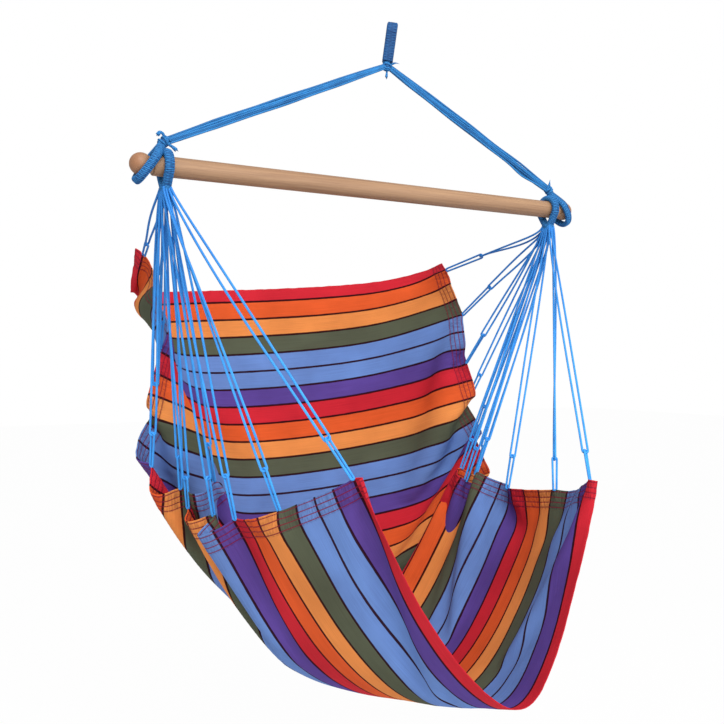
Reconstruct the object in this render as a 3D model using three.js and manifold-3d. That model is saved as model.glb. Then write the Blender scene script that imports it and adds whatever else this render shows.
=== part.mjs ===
import * as THREE from "three";
import { mergeVertices } from "three/addons/utils/BufferGeometryUtils.js";
import Module from "manifold-3d";

// A hanging hammock chair. A striped cloth is slung by cords from a wooden spreader bar, and the bar hangs
// by two rope legs from one braided eye. Lengths are in millimetres, +Z is up, +X runs along the bar and
// the sitter faces -Y. The origin is the inside top of the eye, where a hook carries the chair.

// Clearance between pieces that touch
const CLEARANCE = 0.3;

// Spreader bar: a round rod with a turned ball and groove at each end
const BAR_LENGTH = 1050;
const BAR_DIAMETER = 38;
const BAR_BALL_DIAMETER = 41;
const BAR_GROOVE_DIAMETER = 30;
const BAR_GROOVE_WIDTH = 7;

// Hanging eye: a flat braided band bent into a loop, turned and leaning as it hangs
const APEX_HEIGHT = 262;
const APEX_OFFSET = 16;
const EYE_HEIGHT = 82;
const EYE_WIDTH = 48;
const EYE_FOOT_WIDTH = 24;
const EYE_BAND_WIDTH = 24;
const EYE_BAND_THICKNESS = 11;
const EYE_THROAT_HEIGHT = 14;
const EYE_BEVEL = 2;
const EYE_TURN_DEGREES = -30;
const EYE_LEAN_DEGREES = 8;

// Knots that bind the ropes, and their cut tails
const THROAT_KNOT_DIAMETER = 18;
const TIE_KNOT_DIAMETER = 19;
const TAIL_DIAMETER = 5;

// Rope legs: bands of parallel cords from the throat to knots over the bar's ends
const TIE_INSET = 57;
const TIE_REACH = BAR_LENGTH / 2 - TIE_INSET;
const TIE_HEIGHT = 50;
const LEG_HEIGHT = 19;
const LEG_THICKNESS = 9;

// Rope eyes: braided loops round the bar's ends, tilted outward below
const ROPE_EYE_BAND_WIDTH = 16;
const ROPE_EYE_THICKNESS = 9;
const ROPE_EYE_FOOT_WIDTH = 12;
const ROPE_EYE_TILT_DEGREES = 25;

// Harness eyes: braided loops over the bar that gather the seat's cords
const HARNESS_INSET = 73;
const HARNESS_REACH = BAR_LENGTH / 2 - HARNESS_INSET;
const HARNESS_BAND_WIDTH = 17;
const HARNESS_THICKNESS = 10;
const HARNESS_DROP = 42;
const HARNESS_PLAY = 1;

// Seat cords: each is a hairpin of one cord, linked into a loop on the cloth's hem
const CORD_DIAMETER = 4;
const CORD_SPACING = CORD_DIAMETER + CLEARANCE;
const CORD_STUB = 16;
const CORD_BEND_RADIUS = 5.5;
const HEM_LOOP_LENGTH = 80;
const HEM_LOOP_BEND_RADIUS = 4.5;
const HEM_LOOP_END_RADIUS = 2.2;

// Cloth: woven stripes that run from one hem to the other, with a narrower stripe at each selvedge
const STRIPE_COUNT = 36;
const STRIPE_WIDTH = 43.5;
const EDGE_STRIPE_WIDTH = 30.5;
const CLOTH_WIDTH = 1040;
const CLOTH_THICKNESS = 2.4;
const CLOTH_ROWS = 36;
const CLOTH_COLUMNS = 14;

// The hem's pulled points lie within this reach, depth and drop from the bar's middle
const HEM_REACH = 400;
const HEM_DEPTH = 330;
const HEM_DROP = 650;

// Width of the cloth between its hems at some stripes, as shares of its width
const WIDTH_SHARES = [
  [0, 1],
  [8, 1.02],
  [16, 1.065],
  [26, 1.06],
  [31, 0.99],
  [36, 0.905],
];

// Each cord on the left hem: its stripe, then its point's reach, depth and drop, its loop's length, and its
// place in the neck, counted from the front, with 0 for the inner cord there and 1 for the outer one
const LEFT_HEM_SHARES = [
  [1, -1.0, 1.0, 0.19, 0.84, 5, 1],
  [4, -1.0, 0.76, 0.33, 0.88, 5, 0],
  [7, -0.99, 0.69, 0.51, 0.88, 4, 0],
  [10.5, -1.0, 0.77, 0.71, 0.88, 4, 1],
  [14, -1.07, 0.56, 0.87, 0.88, 3, 1],
  [17, -0.94, 0.48, 0.94, 0.85, 3, 0],
  [19.5, -0.78, 0.42, 0.92, 1.02, 2, 0],
  [22, -0.91, 0.45, 1.0, 0.82, 2, 1],
  [24.3, -0.84, 0.24, 1.01, 0.96, 1, 1],
  [28.2, -0.83, -0.06, 1.0, 1.04, 1, 0],
  [31, -0.73, -0.4, 0.96, 1.0, 0, 1],
  [35, -0.565, -0.85, 0.85, 1.0, 0, 0],
];

// The same for the right hem
const RIGHT_HEM_SHARES = [
  [1, 0.985, 0.945, 0.18, 1.5, 5, 0],
  [4, 1.02, 0.79, 0.36, 1.34, 5, 1],
  [7, 1.02, 0.745, 0.55, 1.1, 4, 0],
  [10, 1.06, 0.81, 0.71, 1.08, 4, 1],
  [13.5, 0.955, 0.545, 0.83, 1.0, 3, 1],
  [17, 0.915, 0.485, 0.98, 1.0, 2, 1],
  [20.5, 0.78, 0.37, 0.98, 1.0, 2, 0],
  [22.5, 0.81, 0.465, 0.94, 0.9, 3, 0],
  [24.5, 0.82, 0.3, 0.945, 1.01, 1, 1],
  [27.5, 0.79, -0.08, 0.98, 0.9, 1, 0],
  [31.3, 0.78, -0.56, 0.955, 0.83, 0, 1],
  [35, 0.67, -1.0, 0.895, 0.78, 0, 0],
];

// The stiff top selvedge from the left hem to the right: reach, depth and drop
const SELVEDGE_SHARES = [
  [-1.025, 1.075, 0.166],
  [-1.005, 1.29, 0.29],
  [-0.93, 1.47, 0.297],
  [-0.75, 1.545, 0.289],
  [0, 1.56, 0.258],
  [0.5, 1.5, 0.231],
  [0.8, 1.41, 0.205],
  [0.9625, 1.24, 0.174],
  [1.005, 1.045, 0.148],
];

// The cloth's middle line before it is let go, down the back and out along the seat: stripe, depth, drop
const MIDDLE_SHARES = [
  [0, 1.576, 0.258],
  [6, 1.606, 0.651],
  [12, 1.515, 1.035],
  [18, 1.15, 1.343],
  [24, 0.364, 1.48],
  [30, -0.424, 1.48],
  [36, -1.0, 1.45],
];
const MIDDLE_FLATNESS = 2.4;
const FRONT_SELVEDGE_SHARE = 0.06;

// How far below the neck the cords of each place turn to their loops, as shares of the stub
const STUB_SHARES = [0.5, 1, 0.85, 0.7, 0.55, 0.4];

// The way that the wide faces of the cords' bends look
const FACING_SHARES = [1, 2, 0];

// How the cloth is let go: the fall in a step as a share of a cell, the motion kept, and the stiffnesses
const DRAPE_STEPS = 1800;
const FALL_SHARE = 0.002;
const KEPT_MOTION_SHARE = 0.99;
const SHEAR_SHARE = 0.4;
const FOLD_SHARE = 0.08;

// Stations along a rope leg: place along it, height and thickness, as shares
const LEG_STATION_SHARES = [
  [0, 0.52, 0.9],
  [0.12, 0.75, 1],
  [0.45, 1, 0.9],
  [0.8, 1, 0.95],
  [1, 0.82, 1],
];
const LEG_FLUTES = 10;
const LEG_FLUTE_SHARE = 0.1;

// Directions of the knots' cut tails, as shares of their knot's diameter
const THROAT_TAIL_SHARES = [
  [
    [0, 0, 0],
    [0.8, -0.5, 0.24],
    [1.25, -0.75, 0.14],
  ],
  [
    [0, 0, 0],
    [0, 0, -0.7],
    [0, 0, -1.35],
  ],
];
const LEFT_TAIL_SHARES = [
  [
    [0, 0, 0],
    [-0.45, -0.2, 0.7],
    [-0.55, -0.25, 1.15],
  ],
  [
    [0, 0, 0],
    [0.8, -0.65, -0.75],
    [1.65, -0.7, -1.0],
  ],
];
const RIGHT_TAIL_SHARES = [
  [
    [0, 0, 0],
    [0.05, -0.1, 0.75],
    [0.12, -0.15, 1.3],
  ],
];

// Facets
const CORD_SIDES = 8;
const BEND_STEPS = 5;
const BEND_REACH = Math.cos(Math.PI / (2 * BEND_STEPS));
const BAR_SIDES = 24;
const BALL_STEPS = 6;
const KNOT_SIDES = 14;
const KNOT_RINGS = 10;
const LOOP_STEPS = 14;
const LOOP_SHOULDER = Math.PI / 7;

const LEFT = -1;
const RIGHT = 1;
const ACROSS = new THREE.Vector3(1, 0, 0);
const UP = new THREE.Vector3(0, 0, 1);
const DOWN = new THREE.Vector3(0, 0, -1);

const MATERIALS = {
  cloth: new THREE.MeshStandardMaterial({ color: 0xd8683c, roughness: 0.95, metalness: 0 }),
  cord: new THREE.MeshStandardMaterial({ color: 0x2f86cf, roughness: 0.7, metalness: 0 }),
  wood: new THREE.MeshStandardMaterial({ color: 0xb29170, roughness: 0.6, metalness: 0 }),
};

const wasm = await Module();
wasm.setup();

// A closed geometry as a manifold solid.
function solidOf(geometry) {
  const bare = geometry.clone();
  bare.deleteAttribute("normal");
  bare.deleteAttribute("uv");
  const merged = mergeVertices(bare);
  return new wasm.Manifold(
    new wasm.Mesh({
      numProp: 3,
      vertProperties: merged.attributes.position.array,
      triVerts: new Uint32Array(merged.index.array),
    }),
  );
}

// The geometry of several closed geometries joined into one.
function joined(geometries) {
  const [first, ...others] = geometries.map(solidOf);
  const mesh = others.reduce((whole, piece) => whole.add(piece), first).getMesh();
  const geometry = new THREE.BufferGeometry();
  geometry.setAttribute("position", new THREE.BufferAttribute(mesh.vertProperties, 3));
  geometry.setIndex(new THREE.BufferAttribute(mesh.triVerts, 1));
  geometry.computeVertexNormals();
  return geometry;
}

function mesh(name, geometry, material) {
  const made = new THREE.Mesh(geometry, material);
  made.name = name;
  return made;
}

// A cord's centre line. The rings of a tube on it fall on the points themselves.
class Route extends THREE.Curve {
  constructor(points, closed) {
    super();
    this.points = points;
    this.closed = closed;
    this.steps = closed ? points.length : points.length - 1;
  }

  pointAt(index) {
    const count = this.points.length;
    if (this.closed) return this.points[(index + count) % count];
    return this.points[THREE.MathUtils.clamp(index, 0, count - 1)];
  }

  getUtoTmapping(u) {
    return u;
  }

  getPoint(t, target = new THREE.Vector3()) {
    return target.copy(this.pointAt(Math.round(t * this.steps)));
  }

  getTangent(t, target = new THREE.Vector3()) {
    const index = Math.round(t * this.steps);
    const here = this.pointAt(index);
    const before = here.clone().sub(this.pointAt(index - 1)).normalize();
    const after = this.pointAt(index + 1).clone().sub(here).normalize();
    return target.copy(before).add(after).normalize();
  }
}

// An open cord through the points, with flat ends.
function cord(points, diameter) {
  const route = new Route(points, false);
  const outline = new THREE.EllipseCurve(0, 0, diameter / 2, diameter / 2).getPoints(CORD_SIDES);
  const section = new THREE.Shape(outline.slice(1));
  return new THREE.ExtrudeGeometry(section, { steps: route.steps, extrudePath: route });
}

// A closed loop of cord through the points.
function cordLoop(points, diameter) {
  const route = new Route(points, true);
  return new THREE.TubeGeometry(route, route.steps, diameter / 2, CORD_SIDES, true);
}

// Points on a half turn about a centre, from -across through ahead to +across.
function halfTurn(centre, across, ahead, radius) {
  const points = [];
  for (let step = 0; step <= BEND_STEPS; step += 1) {
    const angle = (Math.PI * step) / BEND_STEPS;
    const point = centre.clone().addScaledVector(across, -radius * Math.cos(angle));
    points.push(point.addScaledVector(ahead, radius * Math.sin(angle)));
  }
  return points;
}

// A drop-shaped outline: a bow below and two straight sides that close in on a foot above.
function dropOutline(outline, bowWidth, bowDepth, footWidth, footHeight) {
  outline.moveTo(footWidth / 2, footHeight);
  outline.lineTo(-footWidth / 2, footHeight);
  outline.absellipse(0, 0, bowWidth, bowDepth, Math.PI - LOOP_SHOULDER, 2 * Math.PI + LOOP_SHOULDER);
  outline.closePath();
  return outline;
}

// A flat band bent into a drop-shaped loop, its hole along the first axis and its foot along the third.
function bandLoop({ bowWidth, bowDepth, thickness, footWidth, footHeight, throatHeight, band, bevel }) {
  const outerWidth = bowWidth + thickness;
  const outerDepth = bowDepth + thickness;
  const throat = footHeight - throatHeight;
  const outer = dropOutline(new THREE.Shape(), outerWidth, outerDepth, footWidth, footHeight);
  outer.holes.push(dropOutline(new THREE.Path(), bowWidth, bowDepth, CORD_DIAMETER, throat));
  const geometry = new THREE.ExtrudeGeometry(outer, {
    depth: band - 2 * bevel,
    curveSegments: LOOP_STEPS,
    bevelThickness: bevel,
    bevelSize: bevel,
    bevelOffset: -bevel,
    bevelSegments: 1,
  });
  geometry.translate(0, 0, bevel - band / 2);
  const axes = new THREE.Matrix4().makeBasis(new THREE.Vector3(0, 1, 0), UP, ACROSS);
  return geometry.applyMatrix4(axes);
}

// A round knot with cut tails.
function knot(diameter, tailShares) {
  const ball = new THREE.SphereGeometry(diameter / 2, KNOT_SIDES, KNOT_RINGS);
  const tails = tailShares.map((shares) => {
    const points = shares.map((share) => new THREE.Vector3(...share).multiplyScalar(diameter));
    return cord(points, TAIL_DIAMETER);
  });
  return joined([ball, ...tails]);
}

// The wooden bar along X.
function spreaderBar() {
  const ball = BAR_BALL_DIAMETER / 2;
  const groove = BAR_GROOVE_DIAMETER / 2;
  const rod = BAR_DIAMETER / 2;
  const ballCentre = BAR_LENGTH / 2 - ball;
  const neckAngle = Math.asin(groove / ball);
  const neck = ballCentre - ball * Math.cos(neckAngle);
  const shoulder = neck - BAR_GROOVE_WIDTH;
  const half = [new THREE.Vector2(rod, shoulder), new THREE.Vector2(groove, shoulder)];
  for (let step = 0; step < BALL_STEPS; step += 1) {
    const angle = Math.PI - neckAngle - ((Math.PI - neckAngle) * step) / BALL_STEPS;
    half.push(new THREE.Vector2(ball * Math.sin(angle), ballCentre + ball * Math.cos(angle)));
  }
  half.push(new THREE.Vector2(0, BAR_LENGTH / 2));
  const mirrored = half.map((point) => new THREE.Vector2(point.x, -point.y)).reverse();
  return new THREE.LatheGeometry([...mirrored, ...half], BAR_SIDES).rotateZ(-Math.PI / 2);
}

// The eye's loop, with its foot at the origin of its own frame and its bow above.
function hangingEye() {
  const loop = bandLoop({
    bowWidth: EYE_WIDTH / 2 - EYE_BAND_THICKNESS,
    bowDepth: EYE_WIDTH / 2 - EYE_BAND_THICKNESS,
    thickness: EYE_BAND_THICKNESS,
    footWidth: EYE_FOOT_WIDTH,
    footHeight: EYE_HEIGHT - EYE_WIDTH / 2,
    throatHeight: EYE_THROAT_HEIGHT,
    band: EYE_BAND_WIDTH,
    bevel: EYE_BEVEL,
  });
  return loop.rotateX(Math.PI).translate(0, 0, EYE_HEIGHT - EYE_WIDTH / 2);
}

// A rope leg between two points: a fluted band that is narrow where it is bound.
function ropeLeg(start, end) {
  const along = end.clone().sub(start);
  const side = new THREE.Vector3(0, 1, 0);
  const rise = side.clone().cross(along).normalize();
  const rings = LEG_STATION_SHARES.map(([place, height, thickness]) => {
    const centre = start.clone().addScaledVector(along, place);
    return Array.from({ length: 2 * LEG_FLUTES }, (_, index) => {
      const angle = (Math.PI * index) / LEG_FLUTES;
      const reach = index % 2 ? 1 - LEG_FLUTE_SHARE : 1;
      return centre
        .clone()
        .addScaledVector(rise, (LEG_HEIGHT / 2) * height * reach * Math.cos(angle))
        .addScaledVector(side, (LEG_THICKNESS / 2) * thickness * reach * Math.sin(angle));
    });
  });
  return lofted(rings);
}

// A closed body through rings of points, with a flat cap at each end.
function lofted(rings) {
  const sides = rings[0].length;
  const triangles = [];
  for (let ring = 0; ring < rings.length - 1; ring += 1) {
    for (let side = 0; side < sides; side += 1) {
      const here = ring * sides + side;
      const next = ring * sides + ((side + 1) % sides);
      triangles.push(here, next, here + sides, next, next + sides, here + sides);
    }
  }
  const last = (rings.length - 1) * sides;
  for (let side = 1; side < sides - 1; side += 1) {
    triangles.push(0, side + 1, side);
    triangles.push(last, last + side, last + side + 1);
  }
  return indexed(rings.flat(), triangles);
}

function indexed(points, triangles) {
  const geometry = new THREE.BufferGeometry().setFromPoints(points);
  geometry.setIndex(triangles);
  geometry.computeVertexNormals();
  return geometry;
}

// The loop round a bar's end that a rope leg holds, with the bar's axis through its origin.
function ropeEye(side) {
  const tilt = THREE.MathUtils.degToRad(ROPE_EYE_TILT_DEGREES);
  const clearRadius = BAR_BALL_DIAMETER / 2 + 2 * CLEARANCE;
  const footHeight = TIE_HEIGHT / Math.cos(tilt) - TIE_KNOT_DIAMETER / 2 - CLEARANCE;
  const loop = bandLoop({
    bowWidth: clearRadius,
    bowDepth: (clearRadius + (ROPE_EYE_BAND_WIDTH / 2) * Math.sin(tilt)) / Math.cos(tilt),
    thickness: ROPE_EYE_THICKNESS,
    footWidth: ROPE_EYE_FOOT_WIDTH,
    footHeight,
    throatHeight: ROPE_EYE_THICKNESS,
    band: ROPE_EYE_BAND_WIDTH,
    bevel: EYE_BEVEL,
  });
  return loop.rotateY(-side * tilt);
}

// The loop over the bar that gathers one side's cords into a neck.
function harnessEye() {
  const neckWidth = (STUB_SHARES.length - 1) * CORD_SPACING + CORD_DIAMETER;
  const loop = bandLoop({
    bowWidth: BAR_DIAMETER / 2 + HARNESS_PLAY,
    bowDepth: BAR_DIAMETER / 2 + HARNESS_PLAY,
    thickness: HARNESS_THICKNESS,
    footWidth: neckWidth,
    footHeight: HARNESS_DROP,
    throatHeight: HARNESS_THICKNESS,
    band: HARNESS_BAND_WIDTH,
    bevel: EYE_BEVEL,
  });
  return loop.rotateX(Math.PI);
}

// Distance across the stripes from the top selvedge to a stripe's boundary, and back.
function distanceAt(stripe) {
  const full = THREE.MathUtils.clamp(stripe - 1, 0, STRIPE_COUNT - 2);
  const edges = Math.min(stripe, 1) + Math.max(stripe - STRIPE_COUNT + 1, 0);
  return edges * EDGE_STRIPE_WIDTH + full * STRIPE_WIDTH;
}

function stripeAt(distance) {
  const inner = (distance - EDGE_STRIPE_WIDTH) / STRIPE_WIDTH;
  const full = THREE.MathUtils.clamp(inner, 0, STRIPE_COUNT - 2);
  const beyond = Math.max(inner - full, 0) * STRIPE_WIDTH;
  return Math.min(distance / EDGE_STRIPE_WIDTH, 1) + full + beyond / EDGE_STRIPE_WIDTH;
}

const CLOTH_LENGTH = distanceAt(STRIPE_COUNT);

// A point from shares of the hem's reach, depth and drop.
function hemPoint([reach, depth, drop]) {
  return new THREE.Vector3(reach * HEM_REACH, depth * HEM_DEPTH, -drop * HEM_DROP);
}

// The value at a stripe between rows of [stripe, value].
function between(rows, stripe, mix) {
  const upper = Math.max(rows.findIndex(([at]) => at >= stripe), 1);
  const [low, lowValue] = rows[upper - 1];
  const [high, highValue] = rows[upper];
  return mix(lowValue, highValue, (stripe - low) / (high - low));
}

const mixPoints = (low, high, share) => low.clone().lerp(high, share);

// The hem's line before the cloth is let go, as rows of [stripe, point].
function hemLine(hemShares, corner) {
  const rows = hemShares.map(([stripe, ...shares]) => [stripe, hemPoint(shares)]);
  const front = rows.at(-1)[1].clone();
  front.y -= FRONT_SELVEDGE_SHARE * HEM_DEPTH;
  return [[0, corner], ...rows, [STRIPE_COUNT, front]];
}

// The cloth's points, row by row, before it is let go.
function clothStart() {
  const selvedge = new THREE.CatmullRomCurve3(SELVEDGE_SHARES.map(hemPoint), false, "catmullrom");
  const top = selvedge.getSpacedPoints(CLOTH_COLUMNS);
  const left = hemLine(LEFT_HEM_SHARES, top[0]);
  const right = hemLine(RIGHT_HEM_SHARES, top[CLOTH_COLUMNS]);
  const middle = MIDDLE_SHARES.map(([stripe, depth, drop]) => [stripe, hemPoint([0, depth, drop])]);
  const topMiddle = top[CLOTH_COLUMNS / 2].clone().sub(mixPoints(top[0], top[CLOTH_COLUMNS], 1 / 2));
  const points = [];
  for (let row = 0; row <= CLOTH_ROWS; row += 1) {
    const stripe = stripeAt((CLOTH_LENGTH * row) / CLOTH_ROWS);
    const start = between(left, stripe, mixPoints);
    const end = between(right, stripe, mixPoints);
    const sag = between(middle, stripe, mixPoints).sub(mixPoints(start, end, 1 / 2));
    const seatShare = THREE.MathUtils.smoothstep(stripe, 0, STRIPE_COUNT / 2);
    for (let column = 0; column <= CLOTH_COLUMNS; column += 1) {
      const across = column / CLOTH_COLUMNS;
      const fromMiddle = 2 * across - 1;
      const weight = 1 - Math.abs(fromMiddle) ** MIDDLE_FLATNESS;
      const chord = mixPoints(start, end, across);
      const seat = chord.clone().addScaledVector(sag, weight);
      seat.x = chord.x + ((end.x - start.x) / 2) * (Math.sin((fromMiddle * Math.PI) / 2) - fromMiddle);
      const back = chord.addScaledVector(sag, weight).addScaledVector(topMiddle, -weight);
      back.add(top[column]).sub(mixPoints(top[0], top[CLOTH_COLUMNS], across));
      points.push(row ? back.lerp(seat, seatShare) : top[column].clone());
    }
  }
  return points;
}

const clothIndex = (row, column) => row * (CLOTH_COLUMNS + 1) + column;

// The row of the cloth's points that carries a cord at a stripe.
function hemRow(stripe) {
  return Math.round((CLOTH_ROWS * distanceAt(stripe)) / CLOTH_LENGTH);
}

// The threads that hold the cloth's points together, in an order that settles evenly.
function clothThreads() {
  const rise = CLOTH_LENGTH / CLOTH_ROWS;
  const runs = Array.from({ length: CLOTH_ROWS + 1 }, (_, row) => {
    const share = between(WIDTH_SHARES, stripeAt(rise * row), THREE.MathUtils.lerp);
    return (CLOTH_WIDTH * share) / CLOTH_COLUMNS;
  });
  const threads = [];
  const add = (from, to, rest, stiffness, onlyPushes) => {
    threads.push({ from: clothIndex(...from), to: clothIndex(...to), rest, stiffness, onlyPushes });
  };
  const every = (from, stride, last, act) => {
    for (let index = from; index <= last; index += stride) act(index);
  };
  const allRows = (act) => every(0, 1, CLOTH_ROWS, act);
  const allColumns = (last, act) => every(0, 1, last, act);
  for (const first of [0, 1]) {
    every(first, 2, CLOTH_ROWS - 1, (row) =>
      allColumns(CLOTH_COLUMNS, (column) => add([row, column], [row + 1, column], rise, 1, false)),
    );
    every(first, 2, CLOTH_COLUMNS - 1, (column) =>
      allRows((row) => add([row, column], [row, column + 1], runs[row], 1, false)),
    );
  }
  for (const first of [0, 1]) {
    every(first, 2, CLOTH_ROWS - 1, (row) => {
      const slant = Math.hypot(rise, runs[row]);
      allColumns(CLOTH_COLUMNS - 1, (column) => {
        add([row, column], [row + 1, column + 1], slant, SHEAR_SHARE, false);
      });
      allColumns(CLOTH_COLUMNS - 1, (column) => {
        add([row, column + 1], [row + 1, column], slant, SHEAR_SHARE, false);
      });
    });
  }
  for (const first of [0, 1, 2, 3]) {
    every(first, 4, CLOTH_ROWS - 2, (row) => {
      const reach = 2 * rise;
      allColumns(CLOTH_COLUMNS, (column) => {
        add([row, column], [row + 2, column], reach, FOLD_SHARE, true);
      });
    });
    every(first, 4, CLOTH_COLUMNS - 2, (column) => {
      allRows((row) => add([row, column], [row, column + 2], 2 * runs[row], FOLD_SHARE, true));
    });
  }
  return threads;
}

// Pulls two points toward the length of the thread between them.
function pull(points, isFree, { from, to, rest, stiffness, onlyPushes }, span) {
  span.subVectors(points[to], points[from]);
  const length = span.length();
  const ends = isFree[from] + isFree[to];
  if (!ends || !length || (onlyPushes && length > rest)) return;
  span.multiplyScalar((stiffness * (length - rest)) / (length * ends));
  if (isFree[from]) points[from].add(span);
  if (isFree[to]) points[to].sub(span);
}

// The cloth's points once it hangs from its selvedge and its hem's points.
function hungCloth() {
  const points = clothStart();
  const isFree = points.map((_, index) => (index > CLOTH_COLUMNS ? 1 : 0));
  for (const [hemShares, column] of [[LEFT_HEM_SHARES, 0], [RIGHT_HEM_SHARES, CLOTH_COLUMNS]]) {
    for (const [stripe, ...shares] of hemShares) {
      const index = clothIndex(hemRow(stripe), column);
      points[index].copy(hemPoint(shares));
      isFree[index] = 0;
    }
  }
  const threads = clothThreads();
  const fall = (FALL_SHARE * CLOTH_LENGTH) / CLOTH_ROWS;
  const moves = points.map(() => new THREE.Vector3());
  const before = points.map((point) => point.clone());
  const span = new THREE.Vector3();
  for (let step = 0; step < DRAPE_STEPS; step += 1) {
    points.forEach((point, index) => {
      before[index].copy(point);
      if (isFree[index]) point.addScaledVector(moves[index], KEPT_MOTION_SHARE).addScaledVector(DOWN, fall);
    });
    for (const thread of threads) pull(points, isFree, thread, span);
    points.forEach((point, index) => moves[index].subVectors(point, before[index]));
  }
  return points;
}

// The cloth's direction across its face at each point.
function clothNormals(points) {
  return points.map((_, index) => {
    const row = Math.floor(index / (CLOTH_COLUMNS + 1));
    const column = index % (CLOTH_COLUMNS + 1);
    const above = points[clothIndex(Math.max(row - 1, 0), column)];
    const below = points[clothIndex(Math.min(row + 1, CLOTH_ROWS), column)];
    const before = points[clothIndex(row, Math.max(column - 1, 0))];
    const after = points[clothIndex(row, Math.min(column + 1, CLOTH_COLUMNS))];
    return below.clone().sub(above).cross(after.clone().sub(before)).normalize();
  });
}

// The hung cloth as a thin closed body.
function clothBody(points) {
  const normals = clothNormals(points);
  const face = (side) =>
    points.map((point, index) => point.clone().addScaledVector(normals[index], (side * CLOTH_THICKNESS) / 2));
  const count = points.length;
  const triangles = [];
  const quad = (a, b, c, d) => triangles.push(a, b, c, a, c, d);
  for (let row = 0; row < CLOTH_ROWS; row += 1) {
    for (let column = 0; column < CLOTH_COLUMNS; column += 1) {
      const corners = [
        clothIndex(row, column),
        clothIndex(row + 1, column),
        clothIndex(row + 1, column + 1),
        clothIndex(row, column + 1),
      ];
      quad(...corners);
      quad(...corners.map((corner) => corner + count).reverse());
    }
  }
  const border = [];
  for (let row = 0; row < CLOTH_ROWS; row += 1) border.push(clothIndex(row, 0));
  for (let column = 0; column < CLOTH_COLUMNS; column += 1) border.push(clothIndex(CLOTH_ROWS, column));
  for (let row = CLOTH_ROWS; row > 0; row -= 1) border.push(clothIndex(row, CLOTH_COLUMNS));
  for (let column = CLOTH_COLUMNS; column > 0; column -= 1) border.push(clothIndex(0, column));
  border.forEach((here, index) => {
    const next = border[(index + 1) % border.length];
    quad(next, here, here + count, next + count);
  });
  return indexed([...face(1), ...face(-1)], triangles);
}

// How far back along a direction the points must move to clear the triangles by a distance.
function seatedBack(points, direction, triangles, distance) {
  const nearest = new THREE.Vector3();
  const gapTo = (point) => {
    const gaps = triangles.map((triangle) => triangle.closestPointToPoint(point, nearest).distanceTo(point));
    return Math.min(...gaps);
  };
  let back = distance;
  for (let lack = distance; lack > CLEARANCE / 10; back += lack) {
    const moved = points.map((point) => point.clone().addScaledVector(direction, -back));
    lack = distance - Math.min(...moved.map(gapTo));
  }
  return back;
}

// The cloth's triangles near a point.
function trianglesNear(geometry, point, radius) {
  const position = geometry.attributes.position;
  const corners = geometry.index.array;
  const nearest = new THREE.Vector3();
  const near = [];
  for (let index = 0; index < corners.length; index += 3) {
    const triangle = new THREE.Triangle();
    triangle.setFromAttributeAndIndices(position, corners[index], corners[index + 1], corners[index + 2]);
    if (triangle.closestPointToPoint(point, nearest).distanceTo(point) < radius) near.push(triangle);
  }
  return near;
}

// One cord from a place in the neck to its loop on the hem, and that loop.
function seatCord(place, stub, pin, loopLength, cloth) {
  const top = place.clone().addScaledVector(DOWN, stub);
  const ahead = pin.clone().sub(top).normalize();
  const wide = ahead.clone().cross(new THREE.Vector3(...FACING_SHARES)).normalize();
  if (wide.dot(ACROSS) < 0) wide.negate();
  const deep = ahead.clone().cross(wide).normalize();
  const endRadius = HEM_LOOP_END_RADIUS;
  const end = halfTurn(new THREE.Vector3(), deep, ahead, endRadius);
  const atPin = end.map((point) => point.clone().add(pin).addScaledVector(ahead, -endRadius));
  const near = trianglesNear(cloth, pin, HEM_LOOP_LENGTH);
  const back = seatedBack(atPin, ahead, near, CORD_DIAMETER / 2 + CLEARANCE);
  const link = pin.clone().addScaledVector(ahead, -loopLength);
  const crossing = (CORD_DIAMETER + CLEARANCE) / 2;
  const loopTop = link.clone().addScaledVector(ahead, HEM_LOOP_BEND_RADIUS * BEND_REACH - crossing);
  const loopPoints = [
    ...halfTurn(loopTop, deep, ahead.clone().negate(), HEM_LOOP_BEND_RADIUS),
    ...atPin.map((point) => point.addScaledVector(ahead, -back)).reverse(),
  ];
  const bend = link.clone().addScaledVector(ahead, crossing - CORD_BEND_RADIUS * BEND_REACH);
  const cordPoints = [
    place.clone().addScaledVector(ACROSS, -CORD_SPACING / 2),
    top.clone().addScaledVector(ACROSS, -CORD_SPACING / 2),
    ...halfTurn(bend, wide, ahead, CORD_BEND_RADIUS),
    top.clone().addScaledVector(ACROSS, CORD_SPACING / 2),
    place.clone().addScaledVector(ACROSS, CORD_SPACING / 2),
  ];
  return [cord(cordPoints, CORD_DIAMETER), cordLoop(loopPoints, CORD_DIAMETER)];
}

// All the cords and hem loops of one side.
function seatCords(sideName, side, hemShares, cloth) {
  return hemShares.flatMap(([, reach, depthShare, drop, loop, slot, outer], index) => {
    const fromMiddle = HARNESS_REACH + (2 * outer - 1) * CORD_SPACING;
    const depth = (slot - (STUB_SHARES.length - 1) / 2) * CORD_SPACING;
    const place = new THREE.Vector3(side * fromMiddle, depth, -HARNESS_DROP - CLEARANCE);
    const pin = hemPoint([reach, depthShare, drop]);
    const stub = CORD_STUB * STUB_SHARES[slot];
    const [string, hemLoop] = seatCord(place, stub, pin, loop * HEM_LOOP_LENGTH, cloth);
    const label = String(index + 1).padStart(2, "0");
    return [
      mesh(`${sideName}_string_${label}`, string, MATERIALS.cord),
      mesh(`${sideName}_hem_loop_${label}`, hemLoop, MATERIALS.cord),
    ];
  });
}

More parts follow.
